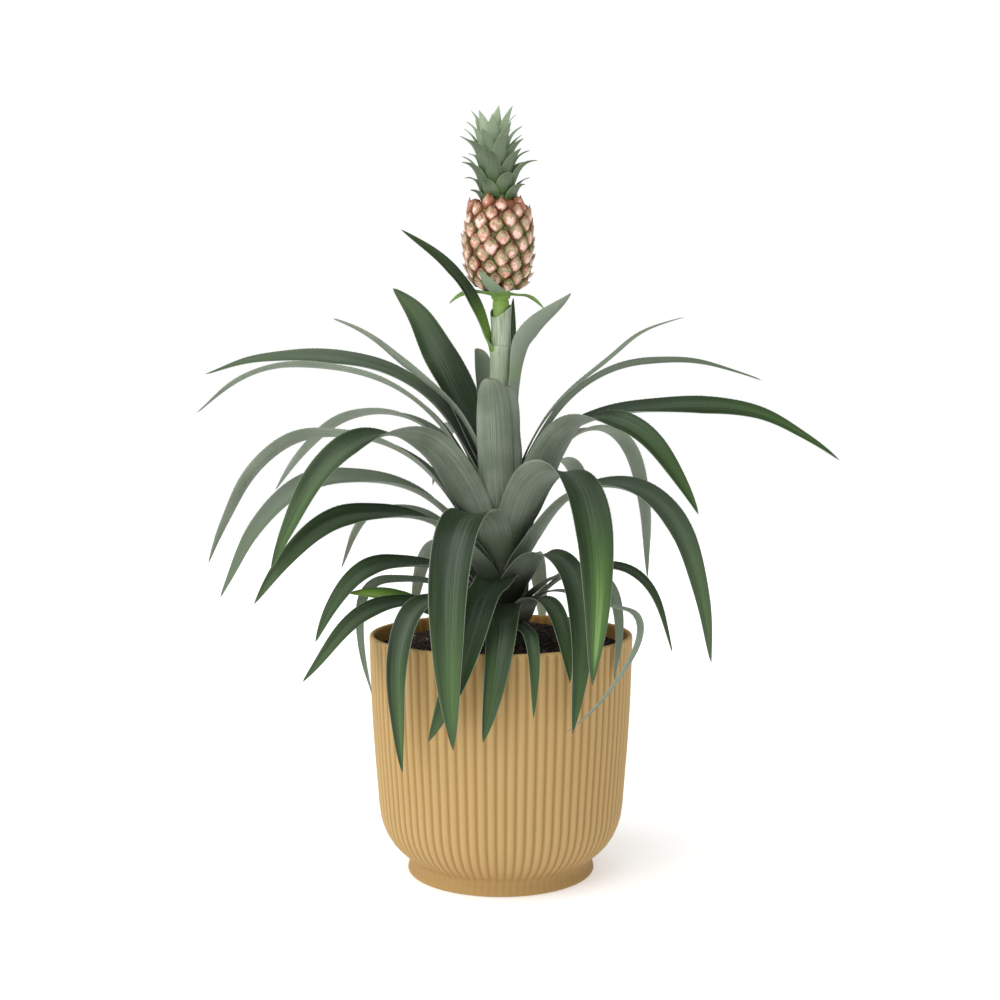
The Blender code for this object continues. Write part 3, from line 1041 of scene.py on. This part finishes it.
@dataclass
class Stalk:
    """The stalk from the soil to the fruit, with two pale sheaths wrapped round it under the fruit."""

    columns: int = 36
    bottom: float = 91.8
    top: float = 309.7
    joints: tuple[float, ...] = (275.0, 300.5, 307.5)
    sheaths: tuple[tuple[float, float, float], ...] = ((250.0, 279.0, 70), (277.0, 301.0, 232))
    sheath_wall: float = 0.55
    sheath_dip: float = 7.0
    finish: StalkSkin = StalkSkin()

    def stem(self) -> Shell:
        """The turned stalk, swollen a little at its joints.

        Returns:
            Its closed shell.
        """
        heights = np.linspace(self.bottom, self.top - 0.1, 110)
        swell = sum(0.5 * np.exp(-((heights - z) / 1.6) ** 2) for z in self.joints)
        radii = stalk_radius(heights) - 0.15 + swell * (heights < 308)
        made = turned([(0, self.bottom), *zip(radii, heights), (0, self.top)], self.columns)
        x, y, z = made.points.T
        turn = np.arctan2(y, x)
        flute = 1 + 0.012 * np.sin(turn * 9 + z * 0.02) + 0.01 * np.sin(turn * 4 + z * 0.11)
        made.points[:, :2] *= flute[:, None]
        made.values[Value.SHEATH] = np.zeros(len(x))
        return made

    def sheath(self, low: float, high: float, side: float) -> Shell:
        """One wrapped bract, its top edge slanting round the stalk.

        Args:
            low: The height of its foot.
            high: The height of its top.
            side: The azimuth, in degrees, where its top edge dips.

        Returns:
            Its closed shell.
        """
        rows, columns = 22, 40
        points, faces = [], []
        for lift in (self.sheath_wall, 0.0):
            for row in range(rows):
                share = row / (rows - 1)
                for column in range(columns):
                    turn = 2 * math.pi * column / columns
                    top = high - self.sheath_dip * (0.5 + 0.5 * math.cos(turn - math.radians(side))) ** 2
                    z = low + (top - low) * share
                    flare = 0.35 + 0.9 * share ** 2 + lift * (1 - 0.5 * share)
                    r = float(stalk_radius(z)) + flare - (1.1 if row == 0 else 0)
                    points.append((r * math.cos(turn), r * math.sin(turn), z))
        inner = rows * columns
        for k in range(columns):
            after = (k + 1) % columns
            for row in range(rows - 1):
                a, b = row * columns, (row + 1) * columns
                faces.append((a + k, a + after, b + after, b + k))
                faces.append((inner + a + k, inner + b + k, inner + b + after, inner + a + after))
            end = (rows - 1) * columns
            faces.append((end + k, end + after, inner + end + after, inner + end + k))
            faces.append((k, inner + k, inner + after, after))
        array = np.array(points)
        return Shell(array, faces, array[:, [0, 2]] / 100, {Value.SHEATH: np.ones(len(array))})

    def build(self) -> None:
        """Builds the stalk and settles it."""
        shells = [self.stem()] + [self.sheath(*place) for place in self.sheaths]
        piece = Shell.joined(shells).piece("stalk", self.finish.material())
        settle(piece, Slot.STEM, "stem")


@dataclass
class Fruit:
    """The fruit: a barrel set with bulging eyes, each with its own small scale."""

    base: float = 308.2
    top: float = 355.0
    radius: float = 18.9
    shift: float = -1.2
    eyes: int = 88
    eye_width: float = 9.0
    eye_height: float = 10.4
    bulge: float = 2.0
    eye_seat: float = 1.2
    slope_height: float = 47.0
    finish: FruitSkin = FruitSkin()

    def reach(self, level: Any) -> Any:
        """The barrel's radius, level running from 0 at the top to 1 at the bottom."""
        belly = 0.97 + 0.04 * level - 0.16 * level ** 3
        return self.radius * np.sin(math.pi * level) ** 0.16 * belly - self.eye_seat

    def barrel(self) -> Shell:
        """The barrel under the eyes.

        Returns:
            Its closed shell.
        """
        levels = (1 - np.cos(np.linspace(0.06, math.pi - 0.06, 40))) / 2
        line = [(float(self.reach(v)), self.top - v * (self.top - self.base)) for v in levels[::-1]]
        made = turned([(0, self.base)] + line + [(0, self.top)], 64, self.shift)
        made.values[Value.EYE] = np.tile([0.0, 0.0, 1.0], (len(made.points), 1))
        made.values[Value.LUCK] = np.full(len(made.points), 0.5)
        return made

    def eye(self) -> Shell:
        """One eye: a rhombic dome with a flat back, and a pointed scale that rises from it.

        Returns:
            The two closed shells in one, each point marked with its place in the eye.
        """
        points, faces, marks = [(0.0, 0.3, self.bulge)], [], [(0.0, 0.0, 0.0)]
        sectors, rings, square = 12, (0.34, 0.62, 0.84, 1.0), 1.5
        for ring in rings:
            for k in range(sectors):
                turn = 2 * math.pi * k / sectors
                c, s = math.cos(turn), math.sin(turn)
                wide = (abs(c) ** square + abs(s) ** square) ** (-1 / square) * ring
                height = self.bulge * (1 - ring ** 2.2) ** 0.7 * (1 + 0.22 * s * ring)
                height -= 0.7 if ring == 1 else 0
                points.append((c * wide * self.eye_width / 2, s * wide * self.eye_height / 2, height))
                marks.append((c * wide, s * wide, ring))
        for k in range(sectors):
            after = (k + 1) % sectors
            faces.append((0, 1 + k, 1 + after))
            for row in range(len(rings) - 1):
                a, b = 1 + row * sectors, 1 + (row + 1) * sectors
                faces.append((a + k, b + k, b + after, a + after))
        faces.append(tuple(1 + (len(rings) - 1) * sectors + k for k in range(sectors))[::-1])
        start = len(points)
        for y, z, half, thick, mark in ((-0.4, 1.0, 2.2, 1.1, 0.0), (1.3, 1.9, 2.0, 0.6, 0.3),
                                        (2.8, 2.3, 1.2, 0.35, 0.7)):
            points += [(-half, y, z), (0, y, z + thick), (half, y, z), (0, y, z - thick / 2)]
            marks += [(0, mark, 2.0)] * 4
        points.append((0.3, 3.8, 2.9))
        marks.append((0, 1.0, 2.0))
        faces.append((start + 3, start + 2, start + 1, start))
        for row in (start, start + 4):
            faces += [(row + k, row + (k + 1) % 4, row + 4 + (k + 1) % 4, row + 4 + k) for k in range(4)]
        faces += [(start + 8 + k, start + 8 + (k + 1) % 4, start + 12) for k in range(4)]
        array = np.array(points)
        return Shell(array, faces, array[:, :2] / 10, {Value.EYE: np.array(marks, float)})

    def seats(self) -> Shell:
        """Where the eyes sit, on a golden-angle spiral, and how each is turned and sized.

        Returns:
            One point for each eye, with its turn, its size and a number of its own.
        """
        luck = random.Random(4)
        places, turns, sizes, tones = [], [], [], []
        for k in range(self.eyes):
            level = 0.035 + 0.92 * (k + 0.5) / self.eyes
            turn = -GOLDEN * k + 0.35 + luck.uniform(-0.06, 0.06)
            height = self.top - level * (self.top - self.base) + luck.uniform(-0.5, 0.5)
            r = float(self.reach(level))
            slope = float(self.reach(level - 0.02)) - float(self.reach(level + 0.02))
            slope /= 0.04 * self.slope_height
            out = Vector((math.cos(turn), math.sin(turn), 0))
            across = Vector((-out.y, out.x, 0))
            rise = (Vector((0, 0, 1)) + out * slope + across * luck.uniform(-0.16, 0.16)).normalized()
            across = (across - rise * across.dot(rise)).normalized()
            face = across.cross(rise)
            places.append(Vector((self.shift, 0, height)) + out * r)
            turns.append(Matrix((across, rise, face)).transposed().to_quaternion())
            narrow = (0.80 + 0.22 * float(np.sin(math.pi * level) ** 0.6)) * luck.uniform(0.92, 1.08)
            tall = luck.uniform(0.7, 1.35) * (1.25 if level < 0.14 else 1.0)
            sizes.append((narrow, narrow * luck.uniform(0.92, 1.08) * (1.25 if level < 0.10 else 1), tall))
            tones.append(luck.random())
        return Shell(np.array(places), [], np.zeros((len(places), 2)),
                     {Value.TURN: np.array([tuple(q) for q in turns]), Value.SIZE: np.array(sizes),
                      Value.LUCK: np.array(tones)})

    def eye_tree(self) -> ShapeTree:
        """The tree that sets an eye on every seat and adds the barrel.

        Returns:
            The tree, with the eye, the barrel and the finish as inputs.
        """
        tree = ShapeTree("Fruit Eyes")
        eye, barrel = tree.ask("Eye", "Object"), tree.ask("Barrel", "Object")
        finish = tree.ask("Finish", "Material")
        shape = tree.node("GeometryNodeObjectInfo", {"Object": eye})
        core = tree.node("GeometryNodeObjectInfo", {"Object": barrel})
        placed = tree.node("GeometryNodeInstanceOnPoints",
                           {"Points": tree.entry.outputs[0], "Instance": shape.outputs["Geometry"],
                            "Rotation": tree.carried(Value.TURN, "QUATERNION"),
                            "Scale": tree.carried(Value.SIZE, "FLOAT_VECTOR")})
        tree.end(tree.painted(placed, finish), tree.painted(core.outputs["Geometry"], finish))
        return tree

    def build(self) -> None:
        """Builds the fruit and settles it."""
        finish = self.finish.material()
        eye, barrel = self.eye().piece("one_eye"), self.barrel().piece("barrel")
        piece = self.seats().piece("fruit_body")
        self.eye_tree().run(piece, {"Eye": eye, "Barrel": barrel, "Finish": finish})
        for helper in (eye, barrel):
            bpy.data.objects.remove(helper)
        piece.data.polygons.foreach_set("use_smooth", [True] * len(piece.data.polygons))
        settle(piece, Slot.FRUIT, "fruit")


@dataclass
class Crown:
    """The tuft on the fruit: clasping short leaves whose tips curve out."""

    base: float = 353.6
    shift: float = -1.2
    lean: float = 3.6
    leaves: int = 42
    finish: LeafSkin = LeafSkin(name="crown_skin", dark=(0.070, 0.150, 0.040), light=(0.170, 0.300, 0.090),
                                bloom_dark=(0.040, 0.064, 0.032), bloom_light=(0.125, 0.165, 0.100),
                                pale=(0.490, 0.610, 0.410), margin=(0.250, 0.360, 0.170),
                                foot=(0.075, 0.150, 0.034), young=(0.060, 0.120, 0.028),
                                tip=(0.110, 0.110, 0.060),
                                margin_from=0.86, roughness=(0.45, 0.55))

    def leaf(self, index: int, luck: random.Random) -> Shell:
        """One short leaf of the tuft, counted from the lowest.

        Args:
            index: Its place on the spiral.
            luck: The source of small differences.

        Returns:
            Its closed shell.
        """
        share = index / (self.leaves - 1)
        turn = GOLDEN * index + 0.9
        out = np.array([math.cos(turn), math.sin(turn), 0.0])
        side = np.array([-out[1], out[0], 0.0])
        root = out * (7.9 - 2.2 * share) + np.array([self.shift - self.lean * share, 0,
                                                    self.base - 1.2 + 30.0 * share])
        length = (12.5 + 10.5 * float(smooth(0.0, 0.35, share))) * luck.uniform(0.85, 1.12)
        start = math.radians(62 + 22 * share)
        finish = math.radians(luck.uniform(-14, 12) + 52 * share ** 1.2)
        steps = np.linspace(0, 1, 15)
        pitch = start + (finish - start) * smooth(0.30, 1.0, steps)
        run = np.r_[0, np.cumsum(np.cos(pitch[:-1]))] / 14 * length
        rise = np.r_[0, np.cumsum(np.sin(pitch[:-1]))] / 14 * length
        path = root + out * run[:, None] + np.array([0, 0, 1.0]) * rise[:, None]
        across, up = frames(path, side)
        width = (11.4 - 1.0 * share) * luck.uniform(0.93, 1.07)
        half = np.maximum(width / 2 * (1 - steps ** 1.8) * (0.80 + 0.20 * smooth(0, 0.3, steps)), 0.1)
        bend = 7.5 - 1.5 * share + steps * 2.0
        ribbon = Ribbon(path, across, up, half, bend, 1.0 - 0.6 * steps, steps, columns=9)
        made = ribbon.shell(0.15, luck.uniform(0, 6))
        count = len(made.points)
        made.values.pop(Value.OUTWARD)
        made.values[Value.FRESH] = np.full(count, 0.25 * luck.random())
        made.values[Value.PALE] = np.full(count, 0.10 * luck.random() + 0.74 * share ** 1.8)
        made.values[Value.LUCK] = np.full(count, luck.random())
        return made

    def build(self) -> None:
        """Builds the tuft and settles it."""
        luck = random.Random(9)
        heart = turned([(0, self.base), (6.8, self.base + 0.5), (7.0, self.base + 5), (5.5, self.base + 18),
                        (3.0, self.base + 30), (0, self.base + 33)], 24, self.shift)
        heart.points[:, 0] -= self.lean * (heart.points[:, 2] - self.base) / 33
        count = len(heart.points)
        heart.values = {Value.SHARE: np.full(count, 0.02), Value.UNDER: np.ones(count),
                        Value.FRESH: np.zeros(count), Value.PALE: np.zeros(count),
                        Value.LUCK: np.full(count, 0.5)}
        shells = [heart] + [self.leaf(k, luck) for k in range(self.leaves)]
        piece = Shell.joined(shells).piece("crown_tuft", self.finish.material())
        settle(piece, Slot.CROWN, "crown")


@dataclass(frozen=True)
class LeafPlan:
    """A leaf's way from the stalk, in millimetres and degrees.

    crest and tip are (out from the axis, up). azimuth turns anticlockwise from +X. lean is how steeply
    the foot leaves the stalk. sweep bends the leaf sideways, twist turns its face, and face turns it
    near the foot. A higher fullness keeps the blade broad nearer its tip, and hook turns the tip under.
    clasp, where it isn't 0, is half the foot's width. fresh, pale and young set its colour.
    """

    name: str
    azimuth: float
    attach: float
    lean: float
    crest: tuple[float, float]
    tip: tuple[float, float]
    width: float
    sweep: float = 0.0
    twist: float = 0.0
    fullness: float = 2.8
    face: float = 0.0
    hook: float = 0.6
    clasp: float = 0.0
    fresh: float = 0.0
    pale: float = 0.0
    young: bool = False


PLANS = (
    LeafPlan("leaf_low_left", 204, 125, 30, (60, 148.5), (85, 152.5), 14, 0, -50, fresh=1.0, young=True),
    LeafPlan("leaf_low_back", 100, 127, 40, (45, 151), (88, 125), 16),
    LeafPlan("leaf_low_front_left", 215, 130, 40, (66, 147.5), (118, 113), 14, 0, -35, hook=0.3),
    LeafPlan("leaf_low_front_right", 300, 131, 45, (42, 149), (77, 113), 14, -6),
    LeafPlan("leaf_hanging_left", 232, 134, 50, (56, 150), (82, 68), 16, 3, -12, fresh=0.25),
    LeafPlan("leaf_low_back_right", 75, 135, 45, (60, 163), (98, 111), 15),
    LeafPlan("leaf_curl_right", 319, 136, 58, (88, 148), (68, 88), 7, -30, 0, 3.2, hook=4.8, pale=0.7),
    LeafPlan("leaf_pale_left", 190, 138, 45, (61, 157), (72, 103), 9, 34, -40, pale=0.45),
    LeafPlan("leaf_low_right", 352, 139, 48, (58, 163), (91, 118), 12, 0, 25),
    LeafPlan("leaf_thin_front", 283, 127, 36, (61, 136), (82, 98), 9, -3),
    LeafPlan("leaf_left_d", 203, 145, 50, (62, 166), (102, 128), 17, 0, -35),
    LeafPlan("leaf_back_left_low", 122, 146, 50, (58, 171), (100, 121), 15),
    LeafPlan("leaf_pale_right", 332, 144, 46, (52, 161), (71, 110), 9, -12, 32, pale=0.5),
    LeafPlan("leaf_left_back_low", 145, 153, 50, (75, 191), (113, 154), 14, pale=0.45),
    LeafPlan("leaf_front_right_low", 305, 151, 52, (43, 172), (80, 89), 17, -14, 12),
    LeafPlan("leaf_front_mid", 273, 139, 50, (48, 142), (83, 87), 18, -13),
    LeafPlan("leaf_back_mid", 90, 159, 55, (70, 201), (120, 141), 16),
    LeafPlan("leaf_left_c", 212, 160, 55, (80, 193), (140, 152), 19, 0, -38),
    LeafPlan("leaf_front_glossy", 266, 150, 56, (55, 154), (76, 85), 21, -30),
    # pale on leaf_right_c is painted sheen, lightening the leaf a little
    LeafPlan("leaf_right_c", 335, 165, 60, (63, 207), (116, 119), 19, 0, 35, fresh=0.2, pale=0.12),
    LeafPlan("leaf_left_b", 194, 167, 60, (85, 210), (147, 150), 20, 0, -36, pale=0.35),
    LeafPlan("leaf_back_right_mid", 62, 169, 60, (72, 217), (118, 155), 16),
    LeafPlan("leaf_front_big", 252, 171, 62, (46, 193), (86, 83), 25, 4, fresh=0.22),
    LeafPlan("leaf_left_a", 168, 174, 62, (98, 232), (167, 160), 17, 0, 25, pale=0.15),
    LeafPlan("leaf_front_right_big", 300, 176, 66, (56, 215), (92, 114), 25, -3, 12, face=-18, fresh=0.95),
    LeafPlan("leaf_pale_back_right", 38, 179, 66, (68, 235), (108, 148), 14, 0, -15, pale=0.5),
    LeafPlan("leaf_left_broad", 213, 181, 66, (66, 233), (132, 168), 22, 0, -30, face=38, fresh=0.2),
    LeafPlan("leaf_back_high", 108, 184, 66, (84, 237), (138, 199), 16),
    LeafPlan("leaf_right_broad", 330, 187, 64, (55, 241), (112, 194), 21, 0, 30, face=-40),
    LeafPlan("leaf_left_back", 150, 190, 68, (80, 244), (153, 199), 15, 0, 15, pale=0.5),
    LeafPlan("leaf_heart_front", 258, 192, 76, (20, 249), (24, 262), 22, -1, 0, 8),
    LeafPlan("leaf_right_long", 8, 197, 74, (114, 247), (188, 218), 18, 0, 45, fresh=0.2),
    LeafPlan("leaf_left_long_b", 176, 199, 70, (112, 269), (164, 244), 13, 0, 15, pale=0.4),
    LeafPlan("leaf_heart_right", 284, 203, 78, (15, 248), (16, 258), 17, 0, 0, 8, face=-20, pale=0.2),
    LeafPlan("leaf_left_long_a", 163, 206, 71, (122, 275), (175, 266), 16, 0, -40, pale=0.15),
    LeafPlan("leaf_right_upper_b", 14, 210, 66, (96, 272.5), (149, 262), 8.5, 0, 35, pale=0.4),
    LeafPlan("leaf_left_upright", 141, 213, 70, (52, 289), (78, 314), 23, 0, -55),
    LeafPlan("leaf_right_upper_a", 357, 216, 70, (66, 280), (96, 294), 6, 0, 30, pale=0.6),
    LeafPlan("leaf_left_thin", 186, 220, 72, (60, 277), (88, 293), 9, 0, 30),
    LeafPlan("leaf_heart_back", 126, 224, 80, (19, 273), (22, 279), 15, 0, 0, 7, pale=0.7),
    LeafPlan("leaf_back_upright", 68, 233, 82, (15, 283), (18, 306), 9),
    LeafPlan("leaf_right_upright", 346, 246, 90, (12, 281), (38, 306), 14, -2, -58, 2.5, hook=-0.3,
             pale=0.5),
    LeafPlan("leaf_on_stalk", 198, 276, 75, (20, 310), (54, 338), 9, 0, -72, face=-45, clasp=3.8),
    LeafPlan("bract_left", 168, 306, 14, (16, 307.5), (28, 302), 7.5, 0, -38, 2.2, fresh=0.2, young=True),
    LeafPlan("bract_front", 262, 305.5, 25, (17, 308.5), (23, 316), 9, -8, pale=0.75, young=True),
    LeafPlan("bract_right", 350, 306, 2, (10, 305.6), (23, 298.5), 5.6, 0, 25, fresh=1.0, young=True),
)


@dataclass
class LeafBlade:
    """One leaf: a channelled blade whose foot clasps the stalk, with teeth along its margins."""

    plan: LeafPlan
    seed: int
    stations: int = 60
    foot: float = 8.0
    thickness: float = 1.3
    small_thickness: float = 0.9
    small_below: float = 9.0
    blunt_above: float = 4.0
    bare_rows: int = 14

    def line(self) -> np.ndarray:
        """Draws the leaf's way from the hidden foot to the tip.

        Returns:
            Its points, as (out from the axis, up).
        """
        plan = self.plan
        start = Vector((float(stalk_radius(plan.attach)) * 1.05 + 0.7, plan.attach))
        crest, tip, lean = Vector(plan.crest), Vector(plan.tip), math.radians(plan.lean)
        rise, arch = (crest - start).length, Vector((1, 0))
        if tip.y > crest.y:
            arch = (tip - start).normalized()
        first = interpolate_bezier(start, start + Vector((math.cos(lean), math.sin(lean))) * rise * 0.45,
                                   crest - arch * (crest.x - start.x) * 0.5, crest, 60)
        fall = tip - crest
        down = (fall.normalized() + (fall.normalized() - arch) * plan.hook).normalized()
        second = interpolate_bezier(crest, crest + arch * fall.length * 0.4,
                                    tip - down * fall.length * 0.35, tip, 60)
        low = plan.attach - min(self.foot, plan.width * (0.6 if plan.width > 9.5 else 0.3))
        foot = (float(stalk_radius(low)) * 0.84, low)
        return np.array([foot] + [tuple(p) for p in first] + [tuple(p) for p in second[1:]])

    def shell(self) -> Shell:
        """Lofts the blade along its way, clasping at the foot and channelled beyond it.

        Returns:
            Its closed shell, with the values that its finish reads.
        """
        plan, luck = self.plan, random.Random(self.seed)
        small, blunt = plan.width < self.small_below, plan.fullness > self.blunt_above
        line = evened(self.line(), self.stations, 1)
        step = np.r_[0, np.cumsum(np.linalg.norm(np.diff(line, axis=0), axis=1))]
        hidden = np.linalg.norm(line - self.line()[1], axis=1).argmin()
        share = np.clip((step - step[hidden]) / (step[-1] - step[hidden]), 0, 1)
        turn = math.radians(plan.azimuth)
        out = np.array([math.cos(turn), math.sin(turn), 0])
        side = np.array([-math.sin(turn), math.cos(turn), 0])
        path = line[:, :1] * out + (plan.sweep * share ** 2)[:, None] * side
        path += line[:, 1:] * np.array([0, 0, 1.0])
        across, up = frames(path, side)
        lean = (math.radians(plan.twist) * np.minimum(1, share * 1.7) ** 2
                + math.radians(plan.face) * smooth(0, 0.12, share) * smooth(0.6, 0.3, share))
        cos, sin = np.cos(lean)[:, None], np.sin(lean)[:, None]
        across, up = across * cos + up * sin, up * cos - across * sin
        base = plan.clasp or min(11.5, plan.width * (0.62 if small else 0.74))
        blade = plan.width / 2 * np.maximum(1 - share ** plan.fullness, 0) ** (0.55 if blunt else 0.8)
        ease = smooth(0, 0.30, share)
        half = np.maximum(base * (1 - ease) + blade * ease, 0.14)
        cup = 1.15 if blunt else 1.7
        wrap = np.maximum(np.hypot(path[:, 0], path[:, 1]), 3.0) + 0.3
        hug = smooth(0.02, 0.26, share)
        bend = np.maximum(wrap * (1 - hug) + half * cup * hug, half * 0.75)
        thick = (self.small_thickness if small else self.thickness) * (1 - 0.55 * share)
        made = Ribbon(path, across, up, half, bend, thick, share).shell(0.35, luck.uniform(0, 6))
        count = len(made.points)
        for key, value in ((Value.FRESH, plan.fresh), (Value.PALE, plan.pale),
                           (Value.LUCK, luck.random())):
            made.values[key] = np.full(count, value)
        return made

    def piece(self) -> bpy.types.Object:
        """Makes the blade an object, its margins marked from beyond the foot.

        Returns:
            The blade, without its teeth.
        """
        made = self.shell().piece(self.plan.name + "_blade")
        mesh, last = made.data, Ribbon.columns - 1
        ring = 2 * last
        ends = np.zeros(len(mesh.edges) * 2, np.int32)
        mesh.edges.foreach_get("vertices", ends)
        low, high = np.sort(ends.reshape(-1, 2), axis=1).T
        margin = (high - low == ring) & np.isin(low % ring, (0, last)) & (low // ring > self.bare_rows)
        mark = mesh.attributes.new(Value.MARGIN.value, "BOOLEAN", "EDGE")
        mark.data.foreach_set("value", margin)
        return made


@dataclass
class Foliage:
    """All the leaves and bracts, each with fine teeth along its margins."""

    plans: tuple[LeafPlan, ...] = PLANS
    spacing: float = 2.8
    tooth: float = 0.75
    skin: LeafSkin = LeafSkin()
    young_skin: LeafSkin = LeafSkin(name="young_skin", dark=(0.035, 0.080, 0.016),
                                    light=(0.150, 0.280, 0.055), green=(0.200, 0.370, 0.055),
                                    sheen=(0.200, 0.330, 0.090), bloom_dark=(0.090, 0.170, 0.040),
                                    bloom_light=(0.190, 0.310, 0.090), fresh=(0.260, 0.460, 0.060),
                                    fresh_from=(-0.5, 0.1))
    horn: ThornHorn = ThornHorn()

    def thorn_tree(self) -> ShapeTree:
        """The tree that sets teeth along the marked margins.

        Returns:
            The tree, with the teeth's spacing, size and seed and the two finishes as inputs.
        """
        tree = ShapeTree("Leaf Teeth")
        spacing, size = tree.ask("Spacing", "Float"), tree.ask("Tooth", "Float")
        seed = tree.ask("Seed", "Int")
        skin, horn = tree.ask("Leaf Finish", "Material"), tree.ask("Tooth Finish", "Material")
        margin = tree.carried(Value.MARGIN, "BOOLEAN")
        line = tree.node("GeometryNodeMeshToCurve", {"Mesh": tree.entry.outputs[0], "Selection": margin})
        spaced = tree.node("GeometryNodeResampleCurve", {"Curve": line, "Length": spacing}, mode="LENGTH")
        out = tree.carried(Value.OUTWARD, "FLOAT_VECTOR")
        ahead = tree.stretched(tree.node("GeometryNodeInputTangent"), 0.7)
        aim = tree.node("ShaderNodeVectorMath", {0: out, 1: ahead}, operation="ADD")
        turn = tree.node("FunctionNodeAlignRotationToVector", {"Vector": aim}, axis="Z")
        force = tree.node("ShaderNodeVectorMath", {0: out}, operation="LENGTH").outputs["Value"]
        cone = tree.node("GeometryNodeMeshCone", {"Vertices": 4, "Radius Top": 0.0,
                                                  "Radius Bottom": tree.times(size, 0.28), "Depth": size})
        teeth = tree.node("GeometryNodeInstanceOnPoints",
                          {"Points": spaced, "Instance": cone.outputs["Mesh"], "Rotation": turn,
                           "Scale": tree.times(force, tree.dice(0.55, 1.15, seed))})
        tree.end(tree.painted(tree.entry.outputs[0], skin), tree.painted(teeth, horn))
        return tree

    def build(self) -> None:
        """Builds every leaf and settles it."""
        skin, young = self.skin.material(), self.young_skin.material()
        horn, tree = self.horn.material(), self.thorn_tree()
        for index, plan in enumerate(self.plans):
            piece = LeafBlade(plan, index + 20).piece()
            tree.run(piece, {"Spacing": self.spacing * MM, "Tooth": self.tooth * MM, "Seed": index,
                             "Leaf Finish": young if plan.young else skin, "Tooth Finish": horn})
            settle(piece, Slot.BRACT if plan.name.startswith("bract") else Slot.LEAF, plan.name)


@dataclass
class Studio:
    """The pale floor, the soft lights and the camera."""

    floor_size: float = 4.0
    sun_strength: float = 2.0
    sun_softness: float = 68.0
    sun_from: Colour = (-0.74, -0.48, 1.08)
    fill_watts: float = 4.0
    fill_size: float = 1.0
    fill_at: Colour = (-1.1, -1.2, 0.45)
    fill_aim: Colour = (0, 0, 0.16)
    ambient: float = 0.74
    glint: float = 0.24
    camera_at: Colour = (-0.0005, -0.735, 0.242)
    camera_tilt: float = 3.44
    lens: float = 49.9
    finish: FloorPaint = FloorPaint()

    def floor(self) -> None:
        """Lays the floor just under the pot."""
        edge, count = self.floor_size * 1000 / 2, 9
        marks = np.linspace(-edge, edge, count)
        points = np.array([(x, y, -0.05) for y in marks for x in marks])
        faces = [(r * count + c, r * count + c + 1, (r + 1) * count + c + 1, (r + 1) * count + c)
                 for r in range(count - 1) for c in range(count - 1)]
        Shell(points, faces, points[:, :2] / 1000).piece("floor", self.finish.material())

    @staticmethod
    def hang(light: bpy.types.Light, at: Vector, aim: Vector) -> None:
        """Puts a light in the scene.

        Args:
            light: The light.
            at: Where it hangs, in metres.
            aim: The direction that it shines in.
        """
        lamp = bpy.data.objects.new(light.name, light)
        lamp.location = at
        lamp.rotation_euler = aim.to_track_quat("-Z", "Y").to_euler()
        bpy.context.scene.collection.objects.link(lamp)

    def fill(self) -> None:
        """Hangs a square soft light that faces the plant."""
        light, at = bpy.data.lights.new("fill_light", "AREA"), Vector(self.fill_at)
        light.size, light.energy = self.fill_size, self.fill_watts
        self.hang(light, at, Vector(self.fill_aim) - at)

    def sun(self) -> None:
        """Hangs the main light, a wide soft one that reaches the whole floor evenly."""
        light = bpy.data.lights.new("key_light", "SUN")
        light.energy, light.angle = self.sun_strength, math.radians(self.sun_softness)
        self.hang(light, Vector(), -Vector(self.sun_from))

    def sky(self) -> None:
        """Gives the scene a white surround that lights the plant less than it shows."""
        world = bpy.data.worlds.new("white_surround")
        world.use_nodes = True
        back = world.node_tree.nodes["Background"]
        back.inputs["Color"].default_value = (1, 1, 1, 1)
        graph = Graph(world.node_tree)
        path = graph.node("ShaderNodeLightPath").outputs
        level = graph.scaled(path["Is Camera Ray"], 1 - self.ambient, self.ambient)
        level = graph.scaled(path["Is Glossy Ray"], self.glint - self.ambient, level)
        world.node_tree.links.new(level, back.inputs["Strength"])
        bpy.context.scene.world = world

    def camera(self) -> None:
        """Sets the camera in front of the plant, a little below the leaves' middle."""
        data = bpy.data.cameras.new("front_camera")
        data.lens, data.sensor_width, data.clip_start = self.lens, 36.0, 0.01
        camera = bpy.data.objects.new("front_camera", data)
        camera.location = self.camera_at
        camera.rotation_euler = (math.radians(90 - self.camera_tilt), 0, 0)
        bpy.context.scene.collection.objects.link(camera)
        bpy.context.scene.camera = camera

    def build(self) -> None:
        """Sets up the whole studio, its whites left as they are."""
        self.floor()
        self.sun()
        self.fill()
        self.sky()
        self.camera()
        bpy.context.scene.view_settings.view_transform = "Standard"


def main() -> None:
    """Loads the frame and builds each part of the plant."""
    logging.basicConfig(level=logging.INFO, format="%(name)s: %(message)s")
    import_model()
    for part in (Studio(), Pot(), Soil(), Stalk(), Fruit(), Crown(), Foliage()):
        part.build()
        LOG.info("%s done", type(part).__name__)


if __name__ == "__main__":
    main()
